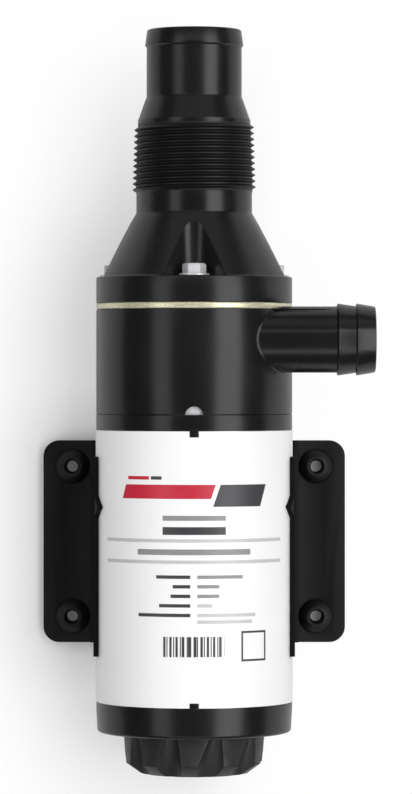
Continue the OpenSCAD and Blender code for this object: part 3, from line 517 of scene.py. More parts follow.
def moulded_plastic(name, shade, gloss, grain=1.0, scratch=1.0, ior=1.47):
    """Black moulded plastic: a fine grain, faint flow marks and a few rubbed places"""
    finish = Finish(name)
    here = finish.place()
    flow = finish.noise(finish.stretched(here, (60, 18, 60)), 1.0, 3)
    rubbed = finish.noise(here, 42, 4, 0.62)
    fine = finish.noise(here, 2400, 2)
    worn = finish.spread(rubbed, 0.3, 0.72, gloss - 0.035 * scratch, gloss + 0.05 * scratch)
    finish.shade(
        Base_Color=finish.mottle(flow, shade, 0.88, 1.16),
        Roughness=worn + (fine - 0.5) * 0.05,
        IOR=ior,
    )
    finish.relief(fine + flow * 0.6, 0.05 * grain, 0.03 * MM)
    return finish.material


def painted_steel(name, shade, gloss):
    """Satin black paint with the faint orange peel that a spray gun leaves"""
    finish = Finish(name)
    here = finish.place()
    peel = finish.noise(here, 900, 2, 0.55)
    dust = finish.noise(here, 5200, 1)
    patch = finish.noise(here, 34, 3, 0.6)
    finish.shade(
        Base_Color=finish.mottle(patch, shade, 0.85, 1.2),
        Roughness=finish.spread(patch, 0.3, 0.7, gloss - 0.04, gloss + 0.05) + (dust - 0.5) * 0.06,
        IOR=1.24,
    )
    finish.relief(peel + dust * 0.3, 0.16, 0.05 * MM)
    return finish.material


def worked_metal(name, shade, gloss, lay=(1, 1, 1), lines=900, depth=0.12, bare=1.0):
    """Metal with the fine lines that tools leave along one way; bare is 1 where nothing dulls it"""
    finish = Finish(name)
    here = finish.place()
    drawn = finish.noise(finish.stretched(here, tuple(lines * k for k in lay)), 1.0, 3, 0.6)
    cloud = finish.noise(here, 120, 3)
    finish.shade(
        Base_Color=finish.mottle(cloud, shade, 0.88, 1.08, low=0.3),
        Metallic=bare,
        Roughness=finish.spread(drawn, 0.3, 0.7, gloss - 0.05, gloss + 0.07),
    )
    finish.relief(drawn, depth, 0.03 * MM)
    return finish.material


def soft_rubber(name, shade):
    """Matt rubber with a bloom"""
    finish = Finish(name)
    here = finish.place()
    bloom = finish.noise(here, 260, 4, 0.6)
    fine = finish.noise(here, 3800, 2)
    finish.shade(
        Base_Color=finish.mottle(bloom, shade, 0.85, 1.35, high=0.75),
        Roughness=finish.spread(bloom, 0.3, 0.7, 0.46, 0.6),
        IOR=1.5,
    )
    finish.relief(fine, 0.18, 0.05 * MM)
    return finish.material


def plain_solid(name, shade, gloss, speckle=900):
    """Pressed or sintered stock, such as carbon, ferrite, ceramic or phenolic sheet"""
    finish = Finish(name)
    here = finish.place()
    grit = finish.noise(here, speckle, 3, 0.65)
    finish.shade(
        Base_Color=finish.mottle(grit, shade, 0.75, 1.25, low=0.3),
        Roughness=finish.spread(grit, 0.3, 0.7, gloss - 0.06, gloss + 0.08),
    )
    finish.relief(grit, 0.2, 0.04 * MM)
    return finish.material


def label_print(name, film, ink, accent, radius):
    """White film with a generic print: stripes, rules and an empty rating table, without words"""
    finish = Finish(name)
    here = finish.place()
    x, y, z = finish.parts_of(here)
    angle = finish.reckon("ARCTAN2", x, z - AXIS_HEIGHT)
    across = angle * (radius / MM)
    along = y / MM - PRINT_SHIFT

    def bar(left, right, low, high, lean=0.0):
        """One where the print covers; lean slants the ends"""
        edge = across - (along - low) * lean if lean else across
        return (edge > left) * (edge < right) * (along > low) * (along < high)

    def either(*masks):
        total = masks[0]
        for mask in masks[1:]:
            total = finish.reckon("MAXIMUM", total, mask)
        return total

    def table(rows):
        """Short bars down the rating table: left end, right end and the row each is in"""
        foot, thick, row_height = -14.4, 1.3, 3.64
        feet = ((left, right, foot - row_height * row) for left, right, row in rows)
        return either(*(bar(left, right, low, low + thick) for left, right, low in feet))

    dark = either(
        bar(7.2, 27.4, 13.0, 21.4, 0.35),
        bar(-17.0, -12.6, 23.3, 24.6),
        bar(-12.2, 12.2, 2.3, 5.3),
        table([(-14.8, -1.5, 0), (-8.2, -1.5, 1), (-9.0, -1.5, 2), (-13.6, -1.5, 3), (-22.4, -1.5, 4)]),
    )
    middling = either(
        bar(-12.2, 12.2, 7.7, 9.6),
        bar(-22.8, 22.6, -5.4, -3.2),
        table([(1.2, 19.2, 0), (1.2, 9.6, 1), (1.2, 9.6, 2)]),
    )
    pale = either(
        bar(-40.2, 39.8, -0.6, 0.7),
        bar(-40.2, 39.8, -8.7, -7.4),
        table([(1.2, 6.9, 3), (1.2, 25.0, 4), (1.2, 23.4, 4.7)]),
    )
    red = either(bar(-30.4, 6.4, 16.0, 21.4, 0.35), bar(-27.4, -17.8, 23.3, 24.6))
    frame_x, frame_y = abs(across - 24.4), abs(along + 40.3)
    frame_out = (frame_x < 5.8) * (frame_y < 5.8)
    frame_in = (frame_x < 5.0) * (frame_y < 5.0)
    ticks = finish.reckon("FRACT", across * 0.42)
    fine = finish.reckon("FRACT", across * 0.77 + 0.2)
    strip = bar(-12.0, 11.6, -44.2, -36.5) * either(ticks < 0.38, fine < 0.33)
    shades = finish.blend(either(dark, strip, frame_out - frame_in), film, ink)
    shades = finish.blend(middling * 0.75, shades, ink)
    shades = finish.blend(pale * 0.42, shades, ink)
    shades = finish.blend(red, shades, accent)
    cloud = finish.noise(here, 70, 3)
    fibre = finish.noise(here, 1700, 2)
    printed = either(dark, strip, red)
    finish.shade(
        Base_Color=shades,
        Roughness=finish.spread(cloud, 0.3, 0.7, 0.36, 0.46) - printed * 0.06,
        IOR=1.46,
    )
    finish.relief(fibre + printed * 0.5, 0.05, 0.04 * MM)
    return finish.material


FINISHES = {}


def finish_named(name):
    """The finishes are made once, from the colours in the sidebar"""
    if not FINISHES:
        hues = bpy.context.scene.pump_colours
        radius = bpy.context.scene.pump_sizes.body_radius
        FINISHES.update(
            moulding=moulded_plastic("moulded_black", hues.moulding, 0.25, 0.5),
            # The thread's moulding is rougher and 0.8 as dark; the darker colour is painted shade of
            # the thread's grooves
            thread=moulded_plastic("thread_black", scaled(hues.moulding, 0.8), 0.46, 0.5),
            casting=moulded_plastic("coated_casting", hues.casting, 0.24, 0.5),
            plate=moulded_plastic("plate_black", hues.bracket, 0.62, 1.2, ior=1.4),
            painted=painted_steel("painted_black", hues.bracket, 0.58),
            knob=moulded_plastic("knob_plastic", scaled(hues.moulding, 3.6), 0.42, 0.8, ior=1.38),
            vane=moulded_plastic("vane_plastic", scaled(hues.moulding, 2.2), 0.4),
            rubber=soft_rubber("grommet_rubber", hues.rubber),
            film=label_print("label_film", hues.film, hues.ink, hues.accent, radius),
            shell=worked_metal("drawn_tube", scaled(hues.steel, 0.8), 0.34, (1, 0.06, 1)),
            wear=worked_metal("polished_plate", hues.wear_plate, 0.26, (1, 6, 1), 260, 0.03, 0.45),
            steel=worked_metal("bright_steel", hues.steel, 0.36, (1, 1, 1), 900, 0.03, 0.35),
            ground=worked_metal("ground_steel", hues.steel, 0.14, (0.3, 2, 0.3), 900, 0.04),
            sheets=worked_metal(
                "core_sheets", scaled(hues.steel, 0.45), 0.42, (0.05, 3, 0.05), 700, 0.4
            ),
            brass=worked_metal("rolled_brass", hues.brass, 0.3),
            copper=worked_metal("drawn_copper", hues.copper, 0.32, (1, 0.2, 1)),
            ferrite=plain_solid("sintered_ferrite", (0.05, 0.05, 0.053), 0.5),
            phenolic=plain_solid("phenolic_sheet", (0.17, 0.085, 0.04), 0.42, 500),
            carbon=plain_solid("pressed_carbon", (0.03, 0.03, 0.032), 0.38),
            ceramic=plain_solid("lapped_ceramic", (0.78, 0.76, 0.70), 0.2, 1500),
        )
    return FINISHES[name]


# What the pieces share


def sizes():
    return bpy.context.scene.pump_sizes


BOLT_TURNS = [FULL_TURN / 4 * i for i in range(4)]
BOLT_FLATS = 8 * MM
BOLT_CIRCLE = reach("inlet_bolts", HIGH, 2) - AXIS_HEIGHT - BOLT_FLATS / 2
BOLT_HOLE = 2.75 * MM
POCKET_ROUND = 6.15 * MM
PRINT_SHIFT = 3.3
FRONT_KEY = 2.2 * MM
REAR_KEY = 1.8 * MM
THROUGH_BOLT_X = 31.5 * MM
SCREW_HEAD = 3.6 * MM
SCREW_HOLE = 2.25 * MM
GROMMETS = ("grommet_rear_left", "grommet_rear_right", "grommet_front_left", "grommet_front_right")

# Radii and a depth in millimetres: groove of the two flat seals, bearing seats, bell spigots
GROOVE_IN, GROOVE_OUT, GROOVE_DEPTH = 24.8, 27.6, 1.6
SEAT_BORE, SEAT_WALL = 11.02, 14.5
SPIGOT = 34.6

# Stations along the axis, from the rear to the inlet's end
Y_REAR = reach("rear_bell", LOW, 1)
Y_SHELL_REAR, Y_SHELL_FRONT = reach("motor_shell", LOW, 1), reach("motor_shell", HIGH, 1)
Y_BELL_TOP = reach("pump_housing", LOW, 1)
Y_HEAD_TOP, Y_WEAR_TOP = reach("wear_plate", LOW, 1), reach("wear_plate", HIGH, 1)
Y_FLANGE = reach("inlet_bolt_washers", LOW, 1)
Y_INLET_END = reach("inlet_housing", HIGH, 1)


def bolt_places():
    """Centres of the four inlet bolts, the first one on top"""
    return [AXIS + Vector((math.sin(a), 0, math.cos(a))) * BOLT_CIRCLE for a in BOLT_TURNS]


def bolt_holes(low, high, radius=BOLT_HOLE):
    """Cutters for the inlet bolts' holes"""
    return [drill("bolt_hole", radius, low, high, centre) for centre in bolt_places()]


def for_each_bolt(piece):
    """The piece at the top bolt and its copies at the other three"""
    return [piece] + [turned_copy(piece, turn) for turn in BOLT_TURNS[1:]]


def screw_places():
    """Centres of the four screws that hold the saddle on the plate"""
    low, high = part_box("saddle_screws")
    return [
        Vector((x, y, 0))
        for x in (low.x + SCREW_HEAD, high.x - SCREW_HEAD)
        for y in (low.y + SCREW_HEAD, high.y - SCREW_HEAD)
    ]


def screw_holes(low, high):
    """Cutters for the saddle screws' holes"""
    return [drill("screw_hole", SCREW_HOLE, low, high, place, UP, 32) for place in screw_places()]


def place_of(node):
    """Where an upright piece's centre line meets the floor"""
    return Vector((middle(node, 0), middle(node, 1), 0))


def key_tab(low, high, top):
    """The key on a bell that shows in the shell's slot"""
    half, depth = 1.7 * MM, 3.4 * MM
    tab = block("key_tab", (-half, low, top - depth), (half, high, top - 0.02 * MM))
    soften(tab, 0.25 * MM, 2)
    return tab


class BenchOperator(Operator):
    """Shared settings of the operators that make pieces"""

    bl_options = {"REGISTER", "UNDO"}


class PUMP_OT_inlet(BenchOperator):
    """Models the inlet housing: flange, cone with bolt pockets, tapered thread and hose tail"""

    bl_idname = "pump.inlet"
    bl_label = "Inlet housing"

    # The thread's radius falls by one part in this many of its length
    taper = 32

    def pocket(self):
        """V-shaped pocket with a round root that clears the washer of the bolt on top"""
        round_by = POCKET_ROUND / MM
        centre = BOLT_CIRCLE / MM
        foot, half_width = sizes().body_radius / MM - 1, 12.4
        rise = (foot**2 - half_width**2) ** 0.5 - centre
        lean = math.acos(round_by / math.hypot(half_width, rise)) - math.atan2(rise, half_width)
        start = (round_by * math.cos(lean), centre - round_by * math.sin(lean))
        far = (half_width * 3 - start[0] * 2, start[1] + (rise + centre - start[1]) * 3)
        length, steps = 25.2 * MM, 14
        root = [
            (round_by * math.sin(a), centre - round_by * math.cos(a))
            for a in ((math.pi / 2 - lean) * (2 * i / steps - 1) for i in range(steps + 1))
        ]
        outline = [(-far[0], far[1]), *root, far]
        points = [AXIS + Vector((x * MM, Y_FLANGE, h * MM)) for x, h in outline]
        return prism("pocket", points, ALONG * length)

    def thread(self, core, crest_rise, pitch, low, high):
        """Right-handed ridge wound up the tapered core, which sinks into it at both ends"""
        foot_half, crest_half = pitch / 2 * 0.96, 0.07 * MM
        root, top = core - 0.3 * MM, core + crest_rise
        lead_in = 1 / 3
        rounds = 11
        turns = rounds + lead_in
        start = low + (0.8 * MM - lead_in * pitch)
        last = start + (turns - 0.4) * pitch
        lead = -lead_in * FULL_TURN
        outwards = UP * math.sin(lead) - SIDE * math.cos(lead)
        outline = [(root, -foot_half), (top, -crest_half), (top, crest_half), (root, foot_half)]
        points = [AXIS + outwards * r + ALONG * (start + s) for r, s in closed(outline)]
        ridge = draw_line("thread", points, at=AXIS)
        wind(
            ridge,
            "Y",
            angle=FULL_TURN * turns / rounds,
            steps=99,
            render_steps=99,
            screw_offset=pitch * turns / rounds,
            iterations=rounds,
        )
        open_up(ridge, "VERT")
        pick(ridge, "verts", lambda v: v.co.y > last - 0.6 * pitch)
        narrow = 1 - (last - start) / self.taper / top
        bpy.ops.transform.resize(
            value=(narrow, 1, narrow),
            center_override=AXIS,
            use_proportional_edit=True,
            proportional_edit_falloff="LINEAR",
            proportional_size=last - start,
        )
        self.sink_end(ridge, outwards, start, pitch)
        self.sink_end(ridge, -SIDE, start + turns * pitch, pitch)
        return ridge

    def sink_end(self, ridge, outwards, station, pitch):
        """Lets the ridge's end at one side of the axis fade into the core over a third of a turn"""
        origin = AXIS - ridge.location + ALONG * station

        def is_end(vert):
            here = vert.co - origin
            on_side = abs(here.cross(outwards).y) < 0.01 * MM and here.dot(outwards) > 0
            return on_side and abs(here.y) < pitch / 2

        open_up(ridge, "VERT")
        pick(ridge, "verts", is_end)
        bpy.ops.transform.resize(
            value=(0.8, 1, 0.8),
            center_override=AXIS,
            use_proportional_edit=True,
            use_proportional_connected=True,
            proportional_edit_falloff="SMOOTH",
            proportional_size=45 * MM,
        )
        clear_bench()

    def execute(self, context):
        size = sizes()
        body = size.body_radius / MM
        cone_length, neck_length, thread_length = 25, 8.2, 26.5
        foot, neck, tail, bore = body - 1, 22.55, 18.55, 15.5
        core = 48.3 / 2 - size.thread_depth / MM
        core_top = core - thread_length / self.taper
        # Stations: wear plate, flange, end, cone's top, thread's start and top
        w, f, end = Y_WEAR_TOP / MM, Y_FLANGE / MM, Y_INLET_END / MM
        c = f + cone_length
        t = c + neck_length
        tt = t + thread_length
        outline = [
            (22, w), (GROOVE_IN, w), (GROOVE_IN, w + GROOVE_DEPTH), (GROOVE_OUT, w + GROOVE_DEPTH),
            (GROOVE_OUT, w),
            (body - 0.25, w), (body, w + 0.25), (body, f - 0.45), (body - 0.14, f - 0.13),
            (body - 0.45, f), (foot + 0.2, f), (foot - 0.05, f + 0.15), (foot - 0.3, f + 0.55),
            (neck + 0.35, c - 0.65), (neck + 0.06, c - 0.1), (neck, c + 0.5),
            (neck, t - 0.25), (neck + 0.1, t), (core, t + 0.1),
            (core_top, tt), (core_top, tt + 1.5), (core_top - 0.25, tt + 1.95),
            (tail + 0.4, tt + 9.6), (tail + 0.08, tt + 10.2), (tail, tt + 10.9),
            (tail, end - 6.9), (tail + 0.12, end - 6.7), (tail + 0.56, end - 6.25),
            (tail + 0.6, end - 6.0), (tail + 0.5, end - 5.3), (tail - 0.1, end - 0.7),
            (tail - 0.3, end - 0.2), (tail - 0.7, end), (bore + 0.5, end), (bore + 0.12, end - 0.14),
            (bore, end - 0.5), (bore, c + 1.4), (bore + 0.3, c + 0.9), (21.6, f + 14), (22, f + 13.2),
        ]
        piece = turned("inlet_housing_shell", closed(millimetres(outline)))
        carve(piece, *for_each_bolt(self.pocket()))
        carve(piece, *bolt_holes(Y_WEAR_TOP - MM, Y_FLANGE + MM))
        soften(piece, 0.28 * MM, 2, 28)
        ridge = self.thread(core * MM, size.thread_depth, size.thread_pitch, t * MM, tt * MM)
        gather(piece, ridge)
        hand_over(piece, "inlet_housing_moulding", "moulding", "inlet_housing")

        def on_thread(face):
            here = centre_of(face) - AXIS
            return (t + 0.4) * MM < here.y < tt * MM and math.hypot(here.x, here.z) > (core - 1.5) * MM

        # The thread's faces take the darker moulding, which is painted shade of the grooves
        second_finish(piece, "thread", on_thread)
        return {"FINISHED"}


class PUMP_OT_wear_plate(BenchOperator):
    """Models the polished wear plate with its softened rim and its notched eye"""

    bl_idname = "pump.wear_plate"
    bl_label = "Wear plate"

    def execute(self, context):
        low, high = Y_HEAD_TOP / MM, Y_WEAR_TOP / MM
        half = (high - low) / 2
        rim = sizes().body_radius / MM - 0.06 - half
        flatness, steps = 0.3, 20
        arc = [
            (rim + half * math.sin(a) ** flatness, low + half - half * math.cos(a))
            for a in (math.pi * i / steps for i in range(steps + 1))
        ]
        outline = [(11.5, low + 0.12), (11.62, low), *arc, (11.62, high), (11.5, high - 0.12)]
        piece = turned("wear_plate_disc", closed(millimetres(outline)))
        notch_half, notch_reach = 1.2 * MM, 13.5 * MM
        notch = block(
            "notch",
            AXIS + Vector((-notch_half, Y_HEAD_TOP - MM, 5 * MM)),
            AXIS + Vector((notch_half, Y_WEAR_TOP + MM, notch_reach)),
        )
        notches = [notch] + [turned_copy(notch, FULL_TURN / 6 * i) for i in range(1, 6)]
        carve(piece, *notches, *bolt_holes(Y_HEAD_TOP - MM, Y_WEAR_TOP + MM))
        hand_over(piece, "wear_plate_polished", "wear", "wear_plate", 40)
        return {"FINISHED"}


class PUMP_OT_housing(BenchOperator):
    """Models the pump housing with its discharge port, the fillet at its root and the drain notch"""

    bl_idname = "pump.housing"
    bl_label = "Pump housing"

    port_radius = 12.8 * MM
    ridge_radius = 13.9 * MM
    bore_radius = 9.2 * MM

    def port_centre(self):
        """The port's axis at x = 0, and the x of its end"""
        end, top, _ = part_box("pump_housing")[HIGH]
        return Vector((0, top - self.ridge_radius, AXIS_HEIGHT + 16.8 * MM)), end

    def tail(self, centre, end):
        """The hose tail with its two ridges, turned about x"""
        tube, ridge, bore = self.port_radius / MM, self.ridge_radius / MM, self.bore_radius / MM
        e = end / MM
        second, first = e - 7.3, e - 14.5
        outline = [
            (tube - 2, 20), (tube, 20), (tube, first - 0.55), (tube + 0.12, first - 0.48),
            (ridge - 0.14, first - 0.1), (ridge, first + 0.12), (ridge - 0.08, first + 0.5),
            (tube + 0.1, second - 0.4), (tube + 0.16, second - 0.3), (ridge - 0.14, second - 0.08),
            (ridge, second + 0.12), (ridge - 0.08, second + 0.5), (tube + 0.02, e - 0.75),
            (tube - 0.2, e - 0.25), (tube - 0.7, e), (bore + 0.4, e), (bore + 0.1, e - 0.1),
            (bore, e - 0.4), (bore, 20),
        ]
        return turned("port", closed(millimetres(outline)), centre, SIDE, ALONG, 96)

    def fillet(self, centre, wall):
        """A ring with a hollow face, laid on the housing round the port's root"""
        round_by = sizes().port_fillet
        steps = 6
        tube = self.port_radius
        rings = [
            (tube + round_by * (1 - math.sin(a)), round_by * (1 - math.cos(a)))
            for a in (math.pi / 2 * i / steps for i in range(steps + 1))
        ]
        rings[0] = (rings[0][0] + 0.02 * MM, -0.04 * MM)
        rings += [(tube - 0.8 * MM, round_by), (tube - 1.0 * MM, -1.2 * MM)]
        rings += [(tube + 0.5 * round_by, -1.5 * MM)]
        start = centre + SIDE * 60 * MM
        clear_bench()
        bpy.ops.mesh.primitive_circle_add(
            vertices=120, radius=rings[0][0], location=start, rotation=(0, math.pi / 2, 0)
        )
        piece = bpy.context.object
        bpy.ops.object.transform_apply(location=True, rotation=True, scale=True)
        bpy.ops.object.mode_set(mode="EDIT")
        bpy.ops.mesh.select_mode(type="EDGE")
        bpy.ops.mesh.select_all(action="SELECT")
        for (before, _), (after, _) in zip(rings, rings[1:]):
            ratio = after / before
            bpy.ops.mesh.extrude_region_move()
            bpy.ops.transform.resize(value=(1, ratio, ratio), center_override=start)
        clear_bench()
        apply_modifier(
            piece,
            "SHRINKWRAP",
            target=wall,
            wrap_method="PROJECT",
            use_project_x=True,
            use_project_y=False,
            use_project_z=False,
            use_negative_direction=True,
            use_positive_direction=False,
        )

        def off_port(point):
            return math.hypot(point.y - centre.y, point.z - centre.z)

        for radius, lift in rings:
            open_up(piece, "VERT")
            pick(piece, "verts", lambda v, r=radius: abs(off_port(v.co) - r) < 0.004 * MM)
            bpy.ops.transform.translate(value=(lift, 0, 0))
        open_up(piece, "EDGE")
        pick(piece, "edges", lambda e: e.is_boundary)
        bpy.ops.mesh.bridge_edge_loops()
        mend_skin(piece)
        open_up(piece, "FACE")
        bpy.ops.mesh.select_all(action="SELECT")
        bpy.ops.mesh.bisect(
            plane_co=(0, Y_HEAD_TOP - 0.03 * MM, 0),
            plane_no=(0, 1, 0),
            use_fill=True,
            clear_outer=True,
        )
        mend_skin(piece)
        return piece

    def execute(self, context):
        body = sizes().body_radius / MM
        low, high = Y_BELL_TOP / MM, Y_HEAD_TOP / MM
        centre, end = self.port_centre()
        floor = (centre.y - self.bore_radius) / MM - 1.7
        seam = [(body - 0.45, low), (body - 0.12, low + 0.13), (body, low + 0.45)]
        rim = [(body, high - 0.4), (body - 0.1, high - 0.1), (body - 0.4, high)]
        outline = [
            (36.0, low), *seam, *rim,
            (GROOVE_OUT, high), (GROOVE_OUT, high - GROOVE_DEPTH), (GROOVE_IN, high - GROOVE_DEPTH),
            (GROOVE_IN, high),
            (24, high), (24, floor + 0.6), (23.4, floor), (12.55, floor), (12.55, floor - 4.5),
            (5.5, floor - 4.5), (5.5, floor - 7), (27, floor - 7), (27, low + 4.3), (36.0, low + 4.3),
        ]
        wall = turned("housing", closed(millimetres(outline)))
        fillet = self.fillet(centre, wall)
        tail = self.tail(centre, end)
        carve(
            tail,
            drill("seat", body * MM + 0.05 * MM, Y_HEAD_TOP, Y_WEAR_TOP + 2 * MM, AXIS, flats=144),
        )
        carve(wall, tail, operation="UNION")
        bore = drill("bore", self.bore_radius, MM, end + MM, centre, SIDE, 96)
        notch = drill(
            "notch", 3.45 * MM, body * MM - 3 * MM, body * MM + MM,
            AXIS + ALONG * (Y_BELL_TOP - 0.25 * MM), UP, 48,
        )
        carve(wall, bore, notch, *bolt_holes(Y_BELL_TOP, Y_HEAD_TOP + MM))
        gather(wall, fillet)
        hand_over(wall, "pump_housing_moulding", "moulding", "pump_housing")
        return {"FINISHED"}


class PUMP_OT_front_bell(BenchOperator):
    """Models the motor's front bell, whose spigot is left bare where the pump housing covers it"""

    bl_idname = "pump.front_bell"
    bl_label = "Front bell"

    def execute(self, context):
        body = sizes().body_radius / MM
        low, high = Y_SHELL_FRONT / MM, Y_BELL_TOP / MM
        seat = reach("front_outer_race", LOW, 1) / MM
        outline = [
            (27, high + 4.1), (27, high), (8.5, high), (8.5, high - 1.8), (SEAT_BORE, high - 1.8),
            (SEAT_BORE, seat), (SEAT_WALL, seat), (SEAT_WALL, low + 1), (27.05, low + 1),
            (27.05, low - 3), (SPIGOT, low - 3), (SPIGOT, low + 0.5), (body - 0.4, low),
            (body - 0.1, low + 0.1),
            (body, low + 0.4), (body, high - 0.35), (body - 0.1, high - 0.1), (body - 0.35, high),
            (35.95, high), (35.95, high + 4.1),
        ]
        piece = turned("front_bell", closed(millimetres(outline)))
        key_top = reach("front_bell", HIGH, 2)
        tab = key_tab(Y_SHELL_FRONT - FRONT_KEY, Y_SHELL_FRONT + 0.6 * MM, key_top)
        tips = reach("inlet_bolts", LOW, 1) - 0.2 * MM
        holes = bolt_holes(tips, Y_BELL_TOP + 6 * MM, 2.55 * MM)
        through_tips = reach("through_bolts", HIGH, 1) + 0.2 * MM
        holes += [
            drill("through_hole", 2.5 * MM, Y_SHELL_FRONT - 5 * MM, through_tips, AXIS + SIDE * x)
            for x in (-THROUGH_BOLT_X, THROUGH_BOLT_X)
        ]
        carve(piece, *holes)
        gather(piece, tab)
        hand_over(piece, "front_bell_casting", "casting", "front_bell")
        bare_from = Y_BELL_TOP + 0.02 * MM
        second_finish(piece, "steel", lambda f: centre_of(f).y > bare_from)
        return {"FINISHED"}


class PUMP_OT_motor(BenchOperator):
    """Models the printed label round the motor, with its gaps for the saddle and the keys"""

    bl_idname = "pump.motor"
    bl_label = "Motor label"

    def execute(self, context):
        body = sizes().body_radius
        inner, outer = body + 0.01 * MM, body + 0.21 * MM
        low, high = Y_SHELL_REAR + 0.1 * MM, Y_SHELL_FRONT - 0.1 * MM
        rows = 12
        wall = [(outer, low + (high - low) * i / rows) for i in range(rows + 1)]
        piece = turned("label", closed([(inner, low), *wall, (inner, high)]), steps=192)
        flat = reach("saddle", HIGH, 0) - 1.85 * MM
        saddle_low, saddle_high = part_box("saddle")
        past = 45 * MM
        cuts = []
        for near, far in ((-flat - 8 * MM, -flat), (flat, flat + 8 * MM)):
            cuts.append(block(
                "flat",
                (near, saddle_low.y - 0.3 * MM, AXIS_HEIGHT - past),
                (far, saddle_high.y + 0.3 * MM, AXIS_HEIGHT + past),
            ))
        half = 1.8 * MM
        for a, b in ((low - MM, low + REAR_KEY + 0.1 * MM), (high - FRONT_KEY - 0.1 * MM, high + MM)):
            cuts.append(block("slot", (-half, a, AXIS_HEIGHT), (half, b, AXIS_HEIGHT + past)))
        carve(piece, *cuts)
        hand_over(piece, "motor_label_film", "film", "motor_label")
        return {"FINISHED"}


class PUMP_OT_rear_bell(BenchOperator):
    """Models the motor's rear bell with its step, bolt pockets, key and lead gland"""

    bl_idname = "pump.rear_bell"
    bl_label = "Rear bell"

    def execute(self, context):
        body = sizes().body_radius / MM
        low, high = Y_REAR / MM, Y_SHELL_REAR / MM
        step = 0.4
        seat = reach("rear_outer_race", LOW, 1) / MM
        outline = [
            (7, low), (body - step - 1.35, low), (body - step - 0.75, low + 0.14),
            (body - step - 0.3, low + 0.5), (body - step - 0.06, low + 1.0), (body - step, low + 1.5),
            (body - step * 0.7, high - 7.5), (body, high - 3.0), (body, high - 0.3),
            (body - 0.1, high - 0.1), (body - 0.35, high), (SPIGOT, high), (SPIGOT, high + 2.95),
            (29.9, high + 2.95), (29.9, low + 2.4), (SEAT_WALL, low + 2.4), (SEAT_WALL, seat + 7.6),
            (SEAT_BORE, seat + 7.6), (SEAT_BORE, low + 1.6), (7, low + 1.6),
        ]
        piece = turned("rear_bell", closed(millimetres(outline)))
        cuts = []
        for x in (-THROUGH_BOLT_X, THROUGH_BOLT_X):
            centre = AXIS + SIDE * x
            cuts.append(drill("pocket", 5.2 * MM, Y_REAR - MM, Y_REAR + 4.2 * MM, centre))
            cuts.append(drill("bolt_hole", 2.7 * MM, Y_REAR, Y_SHELL_REAR + 4 * MM, centre))
        gland_y = Y_REAR + 7 * MM
        lead_at = AXIS + ALONG * gland_y
        cuts.append(drill("lead_hole", 4.0 * MM, -(body + 2) * MM, -18.5 * MM, lead_at, UP))
        carve(piece, *cuts)
        key_top = reach("rear_bell", HIGH, 2)
        gather(piece, key_tab(Y_SHELL_REAR - 0.6 * MM, Y_SHELL_REAR + REAR_KEY, key_top))
        hand_over(piece, "rear_bell_moulding", "moulding", "rear_bell")
        self.gland(lead_at)
        return {"FINISHED"}

    def gland(self, place):
        """Rubber gland with a lip and two grip ribs, under the bell"""
        inner = (AXIS_HEIGHT - reach("lead_gland", HIGH, 2)) / MM
        outer = (AXIS_HEIGHT - reach("lead_gland", LOW, 2)) / MM
        wall = sizes().body_radius / MM
        outline = [
            (1.9, inner), (3.6, inner), (3.9, inner + 0.4), (3.9, wall + 0.02), (4.55, wall + 0.1),
            (4.6, wall + 0.7), (4.3, wall + 1.1), (4.3, wall + 1.5), (4.2, wall + 1.9),
            (3.95, wall + 2.2), (3.8, wall + 2.6), (3.4, outer), (2.1, outer), (1.9, outer - 0.3),
        ]
        gland = turned("gland", closed(millimetres(outline)), place, -UP, SIDE, 48)
        hand_over(gland, "lead_gland_rubber", "rubber", "lead_gland")


